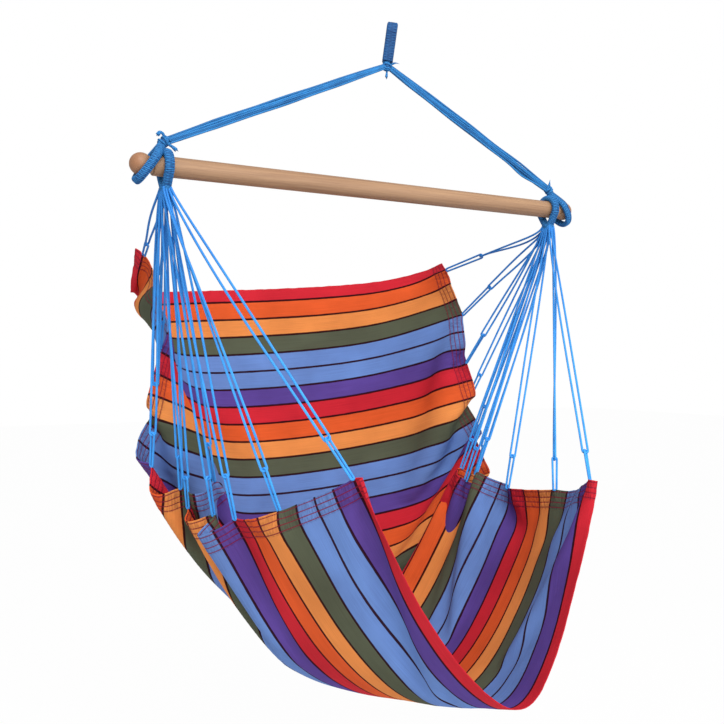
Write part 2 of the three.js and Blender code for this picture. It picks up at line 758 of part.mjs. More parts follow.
// The rope leg, knot and loops at one end of the bar.
function barEnd(sideName, side, apex, tailShares) {
  const tie = new THREE.Vector3(side * TIE_REACH, 0, TIE_HEIGHT);
  const along = tie.clone().sub(apex).normalize();
  const start = apex.clone().addScaledVector(along, THROAT_KNOT_DIAMETER / 2 + CLEARANCE);
  const end = tie.clone().addScaledVector(along, -TIE_KNOT_DIAMETER / 2 - CLEARANCE);
  const leg = mesh(`${sideName}_rope_leg`, ropeLeg(start, end), MATERIALS.cord);
  const tieKnot = mesh(`${sideName}_tie_knot`, knot(TIE_KNOT_DIAMETER, tailShares), MATERIALS.cord);
  tieKnot.position.copy(tie);
  const rope = mesh(`${sideName}_rope_eye`, ropeEye(side), MATERIALS.cord);
  const lean = TIE_HEIGHT * Math.tan(THREE.MathUtils.degToRad(ROPE_EYE_TILT_DEGREES));
  rope.position.x = side * (TIE_REACH + lean);
  const harness = mesh(`${sideName}_harness_eye`, harnessEye(), MATERIALS.cord);
  harness.position.x = side * HARNESS_REACH;
  return [leg, tieKnot, rope, harness];
}

// The whole chair, with its own origin at the bar's middle.
function chair(apex) {
  const cloth = clothBody(hungCloth());
  const group = new THREE.Group();
  group.add(mesh("hammock_cloth", cloth, MATERIALS.cloth));
  group.add(mesh("spreader_bar", spreaderBar(), MATERIALS.wood));
  group.add(...barEnd("left", LEFT, apex, LEFT_TAIL_SHARES));
  group.add(...barEnd("right", RIGHT, apex, RIGHT_TAIL_SHARES));
  group.add(...seatCords("left", LEFT, LEFT_HEM_SHARES, cloth));
  group.add(...seatCords("right", RIGHT, RIGHT_HEM_SHARES, cloth));
  const throat = mesh("throat_binding", knot(THROAT_KNOT_DIAMETER, THROAT_TAIL_SHARES), MATERIALS.cord);
  throat.position.copy(apex);
  group.add(throat);
  return group;
}

const apex = new THREE.Vector3(APEX_OFFSET, 0, APEX_HEIGHT);
const lean = THREE.MathUtils.degToRad(EYE_LEAN_DEGREES);
const turn = THREE.MathUtils.degToRad(EYE_TURN_DEGREES);
const eyeTurn = new THREE.Euler(0, lean, turn, "ZYX");
const eyeFoot = THROAT_KNOT_DIAMETER / 2 + CLEARANCE;
const hook = new THREE.Vector3(0, 0, eyeFoot + EYE_HEIGHT - EYE_BAND_THICKNESS).applyEuler(eyeTurn).add(apex);

const whole = chair(apex);
const eye = mesh("hanging_eye", hangingEye().translate(0, 0, eyeFoot), MATERIALS.cord);
eye.position.copy(apex);
eye.rotation.copy(eyeTurn);
whole.add(eye);
whole.position.copy(hook).negate();

const hammockChair = new THREE.Group();
hammockChair.name = "hammock_chair";
hammockChair.add(whole);

export default hammockChair;
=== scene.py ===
"""Looks of a hanging hammock chair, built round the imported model.

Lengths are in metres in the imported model's frame: the origin is the inside top of the hanging eye, +Z is up
and +X runs along the bar. Shapes are worked out about the bar's middle and moved to the frame at the end.
"""

from __future__ import annotations

import logging
import math
from dataclasses import dataclass
from enum import Enum

import bpy
import numpy as np
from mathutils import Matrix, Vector

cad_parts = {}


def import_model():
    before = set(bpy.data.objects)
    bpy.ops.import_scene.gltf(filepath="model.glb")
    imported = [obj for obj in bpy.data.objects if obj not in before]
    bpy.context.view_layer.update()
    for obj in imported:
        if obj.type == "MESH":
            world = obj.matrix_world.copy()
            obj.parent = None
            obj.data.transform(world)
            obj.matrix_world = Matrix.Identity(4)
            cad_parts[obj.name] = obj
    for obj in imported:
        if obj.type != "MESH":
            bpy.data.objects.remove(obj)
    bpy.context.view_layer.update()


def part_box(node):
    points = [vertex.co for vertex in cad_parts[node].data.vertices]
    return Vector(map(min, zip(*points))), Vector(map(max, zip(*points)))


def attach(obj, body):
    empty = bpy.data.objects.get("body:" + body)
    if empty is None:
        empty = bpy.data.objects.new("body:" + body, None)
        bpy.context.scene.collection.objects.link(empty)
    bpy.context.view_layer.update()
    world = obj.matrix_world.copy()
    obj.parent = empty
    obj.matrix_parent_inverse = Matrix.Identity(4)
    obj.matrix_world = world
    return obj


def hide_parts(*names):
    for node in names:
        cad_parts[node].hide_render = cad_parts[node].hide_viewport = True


LOG = logging.getLogger("hammock_chair")
Array = np.ndarray
X = np.array([1.0, 0.0, 0.0])
Y = np.array([0.0, 1.0, 0.0])
Z = np.array([0.0, 0.0, 1.0])
MM = 0.001


class Side(Enum):
    """An end of the bar, with its sign along X."""

    LEFT = -1
    RIGHT = 1

    @property
    def label(self) -> str:
        """The side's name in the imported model."""
        return self.name.lower()


# The cloth's stripes, its hems and the rows of stitching in them.
STRIPE_WIDTH = 43.5 * MM
EDGE_WIDTH = 30.5 * MM
HEM_WIDTH = 40 * MM
ROW_SPACING = 10.4 * MM
FIRST_ROW = 5.5 * MM

# How far from the bar's middle the harness eyes hang.
HARNESS_REACH = 0.459

# Hem cords of each side: stripe, then the point's reach, depth and drop as shares of HEM, the loop's
# length as a share of HEM_LOOP, the place in the neck from the front, and 0 for the inner cord there or
# 1 for the outer one.
HEM = np.array([0.400, 0.330, -0.650])
HEM_LOOP = 0.080
HEM_CORDS: dict[Side, tuple[tuple[float, ...], ...]] = {
    Side.LEFT: (
        (1, -1.0, 1.0, 0.19, 0.84, 5, 1),
        (4, -1.0, 0.76, 0.33, 0.88, 5, 0),
        (7, -0.99, 0.69, 0.51, 0.88, 4, 0),
        (10.5, -1.0, 0.77, 0.71, 0.88, 4, 1),
        (14, -1.07, 0.56, 0.87, 0.88, 3, 1),
        (17, -0.94, 0.48, 0.94, 0.85, 3, 0),
        (19.5, -0.78, 0.42, 0.92, 1.02, 2, 0),
        (22, -0.91, 0.45, 1.0, 0.82, 2, 1),
        (24.3, -0.84, 0.24, 1.01, 0.96, 1, 1),
        (28.2, -0.83, -0.06, 1.0, 1.04, 1, 0),
        (31, -0.73, -0.4, 0.96, 1.0, 0, 1),
        (35, -0.565, -0.85, 0.85, 1.0, 0, 0),
    ),
    Side.RIGHT: (
        (1, 0.985, 0.945, 0.18, 1.5, 5, 0),
        (4, 1.02, 0.79, 0.36, 1.34, 5, 1),
        (7, 1.02, 0.745, 0.55, 1.1, 4, 0),
        (10, 1.06, 0.81, 0.71, 1.08, 4, 1),
        (13.5, 0.955, 0.545, 0.83, 1.0, 3, 1),
        (17, 0.915, 0.485, 0.98, 1.0, 2, 1),
        (20.5, 0.78, 0.37, 0.98, 1.0, 2, 0),
        (22.5, 0.81, 0.465, 0.94, 0.9, 3, 0),
        (24.5, 0.82, 0.3, 0.945, 1.01, 1, 1),
        (27.5, 0.79, -0.08, 0.98, 0.9, 1, 0),
        (31.3, 0.78, -0.56, 0.955, 0.83, 0, 1),
        (35, 0.67, -1.0, 0.895, 0.78, 0, 0),
    ),
}

# Where the hem ends at the front edge: stripe, and shares of HEM.
HEM_FRONTS = {
    Side.LEFT: (36, -0.565, -0.91, 0.85),
    Side.RIGHT: (36, 0.67, -1.06, 0.895),
}

# The stiff top selvedge from the left hem to the right, as shares of HEM.
SELVEDGE = (
    (-1.025, 1.075, 0.166),
    (-1.005, 1.29, 0.29),
    (-0.93, 1.47, 0.297),
    (-0.75, 1.545, 0.289),
    (0, 1.56, 0.258),
    (0.5, 1.5, 0.231),
    (0.8, 1.41, 0.205),
    (0.9625, 1.24, 0.174),
    (1.005, 1.045, 0.148),
)

# The cloth's middle line before it is let go: stripe, depth and drop as shares of HEM.
MIDDLE = (
    (0, 1.576, 0.258),
    (6, 1.606, 0.651),
    (12, 1.515, 1.035),
    (18, 1.15, 1.343),
    (24, 0.364, 1.48),
    (30, -0.424, 1.48),
    (36, -1.0, 1.45),
)

# Width of the cloth between its hems at some stripes, as shares of its width.
WIDTHS = ((0, 1), (8, 1.02), (16, 1.065), (26, 1.06), (31, 0.99), (36, 0.905))

# How far below the neck the cords of each place turn to their loops, as shares of the stub.
STUBS = (0.5, 1, 0.85, 0.7, 0.55, 0.4)


def linear(red: int, green: int, blue: int) -> tuple[float, float, float, float]:
    """A screen colour of 0 to 255 as the linear colour that a shader takes.

    Args:
        red: How red it is.
        green: How green it is.
        blue: How blue it is.

    Returns:
        Its linear red, green and blue, and 1.
    """
    values = np.array([red, green, blue]) / 255
    curved = np.where(values <= 0.04045, values / 12.92, ((values + 0.055) / 1.055) ** 2.4)
    return (*(float(value) for value in curved), 1.0)


def unit(vectors: Array) -> Array:
    """Vectors divided by their lengths."""
    return vectors / np.maximum(np.linalg.norm(vectors, axis=-1, keepdims=True), 1e-12)


def step(values: Array, low: float, high: float) -> Array:
    """A smooth step: t squared times 3 - 2t, where t goes from 0 at low to 1 at high."""
    t = np.clip((values - low) / (high - low), 0, 1)
    return t * t * (3 - 2 * t)


def with_mirrored_ends(points: Array) -> Array:
    """The points with one more at each end, where the end's neighbour is mirrored in it."""
    return np.concatenate([2 * points[:1] - points[1:2], points, 2 * points[-1:] - points[-2:-1]])


def cubic(a: Array, b: Array, c: Array, d: Array, t: Array) -> Array:
    """The cubic from b to c, its slope at each half the chord between that point's neighbours."""
    curve = 2 * b + (c - a) * t + (2 * a - 5 * b + 4 * c - d) * t**2 + (3 * b - a - 3 * c + d) * t**3
    return curve / 2


def spline_through(points: Array, count: int) -> Array:
    """Evenly spaced points on the curve through the given points.

    The curve is a cubic on each span. Beyond an end its neighbour is mirrored.

    Args:
        points: The points, one a row.
        count: How many points come back.

    Returns:
        The points on the curve, the same distance apart along it.
    """
    padded = with_mirrored_ends(points)
    a, b, c, d = (padded[i : len(padded) - 3 + i, None] for i in range(4))
    spans = cubic(a, b, c, d, np.linspace(0, 1, 24, endpoint=False)[None, :, None])
    fine = np.concatenate([spans.reshape(-1, points.shape[1]), points[-1:]])
    along = np.concatenate([[0], np.cumsum(np.linalg.norm(np.diff(fine, axis=0), axis=1))])
    wanted = np.linspace(0, along[-1], count)
    return np.stack([np.interp(wanted, along, column) for column in fine.T], axis=-1)


def distances(path: Array, closed: bool = False) -> Array:
    """Distance along a path at each of its points, and at its end again where it is closed."""
    steps = np.diff(path, axis=0, append=path[:1]) if closed else np.diff(path, axis=0)
    return np.concatenate([[0], np.cumsum(np.linalg.norm(steps, axis=1))])


def tangents(path: Array, closed: bool) -> Array:
    """Directions of a path at its points, from each point's neighbours."""
    if closed:
        return unit(np.roll(path, -1, axis=0) - np.roll(path, 1, axis=0))
    return unit(np.gradient(path, axis=0))


def waves(values: Array, lengths: tuple[float, ...], rng: np.random.Generator) -> Array:
    """A wandering value from -1 to 1: the mean of sines of these lengths, each with a chance phase.

    Args:
        values: Where the value is wanted.
        lengths: The sines' wavelengths.
        rng: The source of the phases.

    Returns:
        The value at each place.
    """
    total = np.zeros_like(values, dtype=float)
    for length in lengths:
        total += np.sin(2 * math.pi * values / length + rng.uniform(0, 2 * math.pi))
    return total / len(lengths)


def grid_uvs(along: Array, columns: int) -> Array:
    """UVs of a grid that goes round: the distance along, and the place round it from 0 to 1."""
    return np.stack(np.meshgrid(along, np.linspace(0, 1, columns), indexing="ij"), axis=-1)


class Surface:
    """A mesh that is collected from grids of points."""

    def __init__(self) -> None:
        """Starts with nothing."""
        self.points: list[Array] = []
        self.faces: list[Array] = []
        self.corner_uvs: list[Array] = []
        self.values: dict[str, list[Array]] = {}
        self.count = 0

    def add(self, points: Array, faces: Array, uvs: Array, **values: Array) -> None:
        """Adds points, faces of any one size, a UV for each face's corner, and values at the points.

        Args:
            points: The points.
            faces: Each face's points, by their place in points.
            uvs: A UV for each corner of each face.
            **values: Named values at the points.
        """
        self.points.append(points.reshape(-1, 3))
        self.faces.append(faces + self.count)
        self.corner_uvs.append(uvs.reshape(-1, 2))
        for name, value in values.items():
            self.values.setdefault(name, []).append(np.broadcast_to(value, points.shape[:-1]).ravel())
        self.count += len(self.points[-1])

    def add_grid(
        self,
        points: Array,
        uvs: Array,
        round_along: bool = False,
        round_across: bool = True,
        **values: Array,
    ) -> None:
        """Adds a grid of quads.

        Args:
            points: The grid, rows by columns by 3. Rows go along and columns across.
            uvs: A UV at each point, with one more row or column where the grid goes round that way.
            round_along: Whether the last row joins the first.
            round_across: Whether the last column joins the first.
            **values: Named values at the points.
        """
        rows, columns = points.shape[:2]
        i, j = np.meshgrid(
            np.arange(rows if round_along else rows - 1),
            np.arange(columns if round_across else columns - 1),
            indexing="ij",
        )
        i, j = i.ravel(), j.ravel()
        corners = ((i, j), (i + 1, j), (i + 1, j + 1), (i, j + 1))
        faces = np.stack([(a % rows) * columns + b % columns for a, b in corners], axis=1)
        self.add(points, faces, np.stack([uvs[a, b] for a, b in corners], axis=1), **values)
        if round_across and not round_along:
            start = self.count - rows * columns
            for first, order in ((0, np.arange(columns)), (rows - 1, np.arange(columns)[::-1])):
                self.faces.append((start + first * columns + order)[None, :])
                self.corner_uvs.append(np.tile(uvs[first, 0], (columns, 1)))

    def piece(self, name: str, offset: Array, material: bpy.types.Material) -> bpy.types.Object:
        """The collected mesh as an object at the origin.

        Args:
            name: The object's name.
            offset: Added to every point.
            material: The object's finish.

        Returns:
            The new object, linked to the scene.
        """
        mesh = bpy.data.meshes.new(name)
        points = np.concatenate(self.points) + offset
        corners = np.concatenate([faces.ravel() for faces in self.faces])
        sizes = np.concatenate([np.full(len(faces), faces.shape[1]) for faces in self.faces])
        mesh.vertices.add(len(points))
        mesh.vertices.foreach_set("co", points.astype(np.float32).ravel())
        mesh.loops.add(len(corners))
        mesh.loops.foreach_set("vertex_index", corners.astype(np.int32))
        mesh.polygons.add(len(sizes))
        mesh.polygons.foreach_set("loop_start", (np.cumsum(sizes) - sizes).astype(np.int32))
        mesh.polygons.foreach_set("use_smooth", np.ones(len(sizes), bool))
        uv_map = mesh.uv_layers.new(name="UVMap")
        uv_map.data.foreach_set("uv", np.concatenate(self.corner_uvs).astype(np.float32).ravel())
        for value_name, parts in self.values.items():
            attribute = mesh.attributes.new(value_name, "FLOAT", "POINT")
            attribute.data.foreach_set("value", np.concatenate(parts).astype(np.float32))
        mesh.update(calc_edges=True)
        mesh.validate()
        mesh.materials.append(material)
        made = bpy.data.objects.new(name, mesh)
        bpy.context.scene.collection.objects.link(made)
        return made


def add_tube(
    surface: Surface,
    path: Array,
    radius: Array | float,
    facing: Array,
    sides: int = 12,
    closed: bool = False,
    **values: Array | float,
) -> None:
    """Adds a round tube along a path.

    A point is the path's point plus radius times (side times cos a plus rise times sin a), where side is
    the tangent crossed with the facing direction and a goes once round.

    Args:
        surface: The mesh that it is added to.
        path: The centre line.
        radius: The radius, one for all or one for each point.
        facing: A direction that the path never runs along.
        sides: Points round the tube.
        closed: Whether the path's end joins its start.
        **values: Named values along the path.
    """
    tangent = tangents(path, closed)
    side = unit(np.cross(tangent, facing))
    rise = np.cross(side, tangent)
    angle = np.linspace(0, 2 * math.pi, sides, endpoint=False)[None, :, None]
    radii = np.broadcast_to(radius, len(path))[:, None, None]
    ring = side[:, None] * np.cos(angle) + rise[:, None] * np.sin(angle)
    uvs = grid_uvs(distances(path, closed), sides + 1)
    spread = {name: np.broadcast_to(value, len(path))[:, None] for name, value in values.items()}
    surface.add_grid(path[:, None] + radii * ring, uvs, round_along=closed, **spread)


class Value:
    """A shader socket that adds its own Math nodes when it is used in an expression."""

    def __init__(self, graph: "Graph", socket: bpy.types.NodeSocket) -> None:
        """Wraps a socket of a graph."""
        self.graph = graph
        self.socket = socket

    def math(self, operation: str, *others: "Value | float", clamp: bool = False) -> "Value":
        """The result of a Math node on this value and others."""
        settings = {"operation": operation, "use_clamp": clamp}
        return self.graph.add("ShaderNodeMath", settings, dict(enumerate((self, *others))))

    def __add__(self, other: "Value | float") -> "Value":
        """The sum."""
        return self.math("ADD", other)

    __radd__ = __add__

    def __sub__(self, other: "Value | float") -> "Value":
        """The difference."""
        return self.math("SUBTRACT", other)

    def __rsub__(self, other: float) -> "Value":
        """A number less this value."""
        return (self * -1) + other

    def __mul__(self, other: "Value | float") -> "Value":
        """The product."""
        return self.math("MULTIPLY", other)

    def __truediv__(self, other: "Value | float") -> "Value":
        """The quotient."""
        return self.math("DIVIDE", other)

    def within(self, low: float, high: float) -> "Value":
        """0 below low, 1 above high and straight between, or the other way round where low is greater."""
        return ((self - low) / (high - low)).math("ADD", 0.0, clamp=True)


class Graph:
    """The nodes of one material."""

    def __init__(self, name: str) -> None:
        """Makes a material with no nodes."""
        self.material = bpy.data.materials.new(name)
        self.material.use_nodes = True
        self.tree = self.material.node_tree
        self.tree.nodes.clear()

    def add(
        self, kind: str, settings: dict | None = None, inputs: dict | None = None, output: int | str = 0
    ) -> Value:
        """Adds a node.

        Args:
            kind: The node's type.
            settings: Its properties, set first. The stops of a ramp are (place, colour) pairs.
            inputs: Values or sockets by input name or number.
            output: The output that comes back.

        Returns:
            That output.
        """
        node = self.tree.nodes.new(kind)
        for key, value in (settings or {}).items():
            if key != "stops":
                setattr(node, key, value)
                continue
            elements = node.color_ramp.elements
            elements[0].position, elements[0].color = value[0]
            elements[1].position, elements[1].color = value[-1]
            for place, colour in value[1:-1]:
                elements.new(place).color = colour
        for key, value in (inputs or {}).items():
            if isinstance(value, Value):
                self.tree.links.new(value.socket, node.inputs[key])
            else:
                node.inputs[key].default_value = value
        return Value(self, node.outputs[output])

    def attribute(self, name: str) -> Value:
        """A named value of the mesh."""
        return self.add("ShaderNodeAttribute", {"attribute_name": name}, output="Fac")

    def uv(self) -> tuple[Value, Value]:
        """Distance along the piece, and the place round or across it.

        Returns:
            The two as values.
        """
        place = self.add("ShaderNodeUVMap", {"uv_map": "UVMap"})
        first, second = (self.add("ShaderNodeSeparateXYZ", {}, {0: place}, axis) for axis in "XY")
        return first, second

    def mix(
        self, share: Value | float, low: Value | tuple, high: Value | tuple, blend: str = "MIX"
    ) -> Value:
        """One colour mixed into another."""
        settings = {"data_type": "RGBA", "blend_type": blend}
        return self.add("ShaderNodeMix", settings, {0: share, 6: low, 7: high}, 2)

    def noise(self, vector: Value, scale: float, detail: float = 2.0) -> Value:
        """A cloudy value near one half."""
        return self.add("ShaderNodeTexNoise", {}, {"Vector": vector, "Scale": scale, "Detail": detail})

    def scaled(self, vector: Value, x: float, y: float, z: float, move: tuple = (0, 0, 0)) -> Value:
        """Coordinates moved and then stretched."""
        moved = self.add("ShaderNodeVectorMath", {"operation": "ADD"}, {0: vector, 1: move})
        return self.add("ShaderNodeVectorMath", {"operation": "MULTIPLY"}, {0: moved, 1: (x, y, z)})

    def coordinates(self) -> Value:
        """The object's own coordinates."""
        return self.add("ShaderNodeTexCoord", output="Object")

    def finish(
        self, colour: Value, roughness: Value | float, height: Value, depth: float, **constants: float
    ) -> bpy.types.Material:
        """Ends the graph in a shader.

        Args:
            colour: The base colour.
            roughness: The roughness.
            height: Relief from 0 to 1.
            depth: What a relief of 1 stands for, in metres.
            **constants: Numbers on the shader's own sockets, with _ for a space.

        Returns:
            The material.
        """
        normal = self.add("ShaderNodeBump", {}, {"Strength": 1.0, "Distance": depth, "Height": height})
        inputs = {key.replace("_", " "): value for key, value in constants.items()}
        inputs.update({"Base Color": colour, "Roughness": roughness, "Normal": normal})
        shader = self.add("ShaderNodeBsdfPrincipled", {}, inputs)
        self.add_output(shader)
        return self.material

    def add_output(self, shader: Value) -> None:
        """Links a shader to the material's surface."""
        node = self.tree.nodes.new("ShaderNodeOutputMaterial")
        self.tree.links.new(shader.socket, node.inputs["Surface"])


@dataclass(frozen=True)
class ClothFinish:
    """Woven stripes with dark lines between them, rows of stitching in the hems, and a plain weave, with
    painted shade in the hems' puckers and between the weave's threads.
    """

    stripes: tuple[tuple[int, int, int], ...] = (
        (216, 42, 56),
        (238, 98, 46),
        (246, 152, 80),
        (92, 98, 78),
        (112, 148, 214),
        (112, 148, 214),
        (98, 74, 158),
    )
    line: tuple[int, int, int] = (40, 4, 12)
    thread: tuple[int, int, int] = (118, 16, 46)
    worn: tuple[int, int, int] = (214, 208, 210)
    pucker_shade: tuple[int, int, int] = (46, 22, 40)
    gap: tuple[int, int, int] = (30, 16, 26)
    line_width: float = 5.0 * MM
    thread_pitch: float = 0.9 * MM
    stitch_length: float = 4.0 * MM

    def material(self) -> bpy.types.Material:
        """The finish as a material that reads the cloth's UV and its distance from the nearest hem.

        Returns:
            The material.
        """
        graph = Graph("woven_cloth")
        across, along = graph.uv()
        hem = graph.attribute("hem_distance")
        place = graph.add("ShaderNodeCombineXYZ", {}, {0: across, 1: along})
        wander = graph.noise(graph.scaled(place, 300, 40, 1), 1.0)
        stripe = (across + (STRIPE_WIDTH - EDGE_WIDTH)) / STRIPE_WIDTH
        inside = stripe.math("FRACT")
        number = stripe.math("FLOOR").math("MODULO", len(self.stripes))
        stops = [(k / len(self.stripes), linear(*colour)) for k, colour in enumerate(self.stripes)]
        colour = graph.add("ShaderNodeValToRGB", {"stops": stops}, {0: (number + 0.5) / len(self.stripes)})
        graph.tree.nodes[-1].color_ramp.interpolation = "CONSTANT"
        to_line = inside.math("MINIMUM", 1 - inside) * STRIPE_WIDTH + (wander - 0.5) * (1.2 * MM)
        half = self.line_width / 2
        line = to_line.within(half + 0.3 * MM, half - 0.3 * MM)
        streaks = graph.noise(graph.scaled(place, 900, 9, 1), 1.0, 3.0)
        faded = graph.noise(graph.scaled(place, 9, 7, 1), 1.0, 3.0)
        fresh = (faded * 0.6 + streaks * 0.4).within(0.30, 0.72)
        tint = graph.mix(fresh, linear(*self.worn), linear(255, 255, 255))
        colour = graph.mix(1.0, colour, tint, "MULTIPLY")
        colour = graph.mix(line * 0.97, colour, linear(*self.line))
        row = (hem - (FIRST_ROW - ROW_SPACING / 2)) / ROW_SPACING
        to_row = (row.math("FRACT") - 0.5).math("ABSOLUTE") * ROW_SPACING
        in_hem = hem.within(HEM_WIDTH + 0.6 * MM, HEM_WIDTH + 0.2 * MM) * hem.within(2.4 * MM, 2.8 * MM)
        dash = (across / self.stitch_length + wander).math("FRACT").within(0.92, 0.84) * 0.7 + 0.3
        stitch = to_row.within(1.25 * MM, 0.75 * MM) * in_hem * dash
        colour = graph.mix(stitch * 0.92, colour, linear(*self.thread))
        puckers = graph.noise(graph.scaled(place, 210, 60, 1), 1.0, 2.0).within(0.36, 0.64) * in_hem
        # Painted shade: the hems' puckers are darkened toward a dark wine colour, besides being dented by the
        # bump.
        colour = graph.mix(puckers * (1 - stitch) * 0.28, colour, linear(*self.pucker_shade))
        turn = 2 * math.pi / self.thread_pitch
        weave = (across * turn).math("SINE") * (along * turn).math("SINE") * 0.5 + 0.5
        groove = to_row.within(1.6 * MM, 0.3 * MM) * in_hem
        height = weave * 0.2 + streaks * 0.2 + stitch * 0.4 - groove * 0.6 + faded * 0.2 - puckers * 1.6
        # Painted shade: the gaps between the weave's threads are darkened a little.
        colour = graph.mix((1 - weave) * 0.1, colour, linear(*self.gap))
        roughness = (1 - stitch * 0.3) * 0.93
        return graph.finish(colour, roughness, height, 0.6 * MM, Specular_IOR_Level=0.12)


@dataclass(frozen=True)
class CordFinish:
    """Blue plaited cord: small diamonds where the strands cross, with painted shade between them."""

    name: str
    crest: tuple[int, int, int]
    valley: tuple[int, int, int]
    pitch: float = 5.2 * MM
    strands: int = 3
    contrast: float = 0.45

    def material(self) -> bpy.types.Material:
        """The finish as a material that reads distance along and round the cord.

        Returns:
            The material.
        """
        graph = Graph(self.name)
        along, around = graph.uv()
        turn = 2 * math.pi / self.pitch
        spin = 2 * math.pi * self.strands
        right = (along * turn + around * spin).math("SINE")
        left = (along * turn - around * spin).math("SINE")
        plait = right.math("MAXIMUM", left) * 0.5 + 0.5
        shade = graph.attribute("shade")
        coordinates = graph.coordinates()
        fibres = graph.noise(graph.scaled(coordinates, 1400, 1400, 500), 1.0, 2.0)
        cloudy = graph.noise(coordinates, 34.0, 2.0)
        lit = plait * self.contrast + fibres * 0.3 + cloudy * 0.5 + (0.35 - self.contrast)
        # Painted shade: the colour goes from the dark valley colour between the strands to the lit crest
        # colour, and the mesh's shade value darkens it more.
        colour = graph.mix(lit.within(0.1, 0.8) * shade, linear(*self.valley), linear(*self.crest))
        height = plait * 0.7 + fibres * 0.3
        roughness = 0.62 + (1 - plait) * 0.2
        return graph.finish(colour, roughness, height, 0.28 * MM, Specular_IOR_Level=0.3)


@dataclass(frozen=True)
class WoodFinish:
    """Pale turned wood with a fine straight grain, browner at its ends."""

    centre: tuple[float, float, float]
    half_length: float = 0.525
    pale: tuple[int, int, int] = (170, 133, 100)
    dark: tuple[int, int, int] = (134, 99, 71)
    ends: tuple[int, int, int] = (150, 96, 62)
    pore: tuple[int, int, int] = (122, 84, 58)

    def material(self) -> bpy.types.Material:
        """The finish as a material in coordinates about the bar's middle.

        Returns:
            The material.
        """
        graph = Graph("turned_wood")
        move = tuple(-value for value in self.centre)
        local = graph.scaled(graph.coordinates(), 1, 1, 1, move)
        wide = graph.noise(graph.scaled(local, 1.6, 42, 42), 1.0, 4.0)
        fine = graph.noise(graph.scaled(local, 9, 420, 420), 1.0, 3.0)
        pores = graph.noise(graph.scaled(local, 46, 1300, 1300), 1.0, 2.0).within(0.60, 0.72)
        grain = (wide * 0.55 + fine * 0.45).within(0.34, 0.66)
        colour = graph.mix(grain, linear(*self.dark), linear(*self.pale))
        colour = graph.mix(pores * 0.35, colour, linear(*self.pore))
        length = graph.add("ShaderNodeSeparateXYZ", {}, {0: local}, "X").math("ABSOLUTE")
        end = length.within(self.half_length - 0.034, self.half_length - 0.012)
        colour = graph.mix(end * (0.35 + wide * 0.5), colour, linear(*self.ends))
        roughness = 0.5 + fine * 0.14
        height = fine * 0.5 + (1 - pores) * 0.5
        return graph.finish(colour, roughness, height, 0.1 * MM, Coat_Weight=0.08, Coat_Roughness=0.35)


@dataclass
class Finishes:
    """The materials that the pieces share."""

    cloth: bpy.types.Material
    cord: bpy.types.Material
    braid: bpy.types.Material
    eye: bpy.types.Material
    wood: bpy.types.Material

    @classmethod
    def made(cls, bar_centre: Array) -> "Finishes":
        """All the finishes, the wood's about the bar's middle.

        Args:
            bar_centre: The bar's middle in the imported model.

        Returns:
            The finishes.
        """
        return cls(
            cloth=ClothFinish().material(),
            cord=CordFinish("seat_cord", (66, 164, 244), (8, 74, 156), contrast=0.25).material(),
            # Painted shade: the braid finishes are darker copies of the seat cord's blue, for the legs, knots
            # and eyes.
            braid=CordFinish("bar_braid", (48, 134, 200), (2, 34, 88)).material(),
            eye=CordFinish("eye_braid", (40, 110, 172), (4, 32, 80)).material(),
            wood=WoodFinish(tuple(float(value) for value in bar_centre)).material(),
        )


@dataclass
class SpreaderBar:
    """The round bar along X, with a turned ball and groove at each end."""

    length: float = 1.050
    diameter: float = 0.038
    ball: float = 0.041
    groove: float = 0.030
    groove_width: float = 0.007
    shoulder: float = 0.0022

    def outline(self) -> Array:
        """Half of the bar's outline as rows of (x, radius): rod, rounded shoulder, groove, ball.

        Returns:
            The outline from the middle to the right end.
        """
        ball, radius = self.ball / 2, self.diameter / 2
        centre = self.length / 2 - ball
        neck = math.asin(self.groove / self.ball)
        base = centre - ball * math.cos(neck)
        edge = base - self.groove_width
        turn = np.linspace(0, math.pi / 2, 7)
        rod = np.stack([np.linspace(0, edge - 2 * self.shoulder, 60), np.full(60, radius)], axis=1)
        rounded = np.stack([np.sin(turn) - 1, np.cos(turn) - 1], axis=1) * self.shoulder + (edge, radius)
        floor = np.array([[0, 0.0004], [0.0012, 0], [self.groove_width - 0.001, 0]])
        floor = floor + (edge, self.groove / 2)
        angle = np.linspace(math.pi - neck, 0.02, 26)
        knob = np.stack([centre + ball * np.cos(angle), ball * np.sin(angle)], axis=1)
        return np.concatenate([rod, rounded, floor, knob])

    def surface(self) -> Surface:
        """The outline and its mirror image turned once round X.

        Returns:
            The surface about the bar's middle.
        """
        half = self.outline()
        profile = np.concatenate([half[:0:-1] * (-1, 1), half])
        angle = np.linspace(0, 2 * math.pi, 64, endpoint=False)
        x, radius = profile[:, 0, None], profile[:, 1, None]
        points = np.stack(np.broadcast_arrays(x, radius * np.cos(angle), radius * np.sin(angle)), axis=-1)
        made = Surface()
        made.add_grid(points, grid_uvs(distances(profile), 65))
        return made


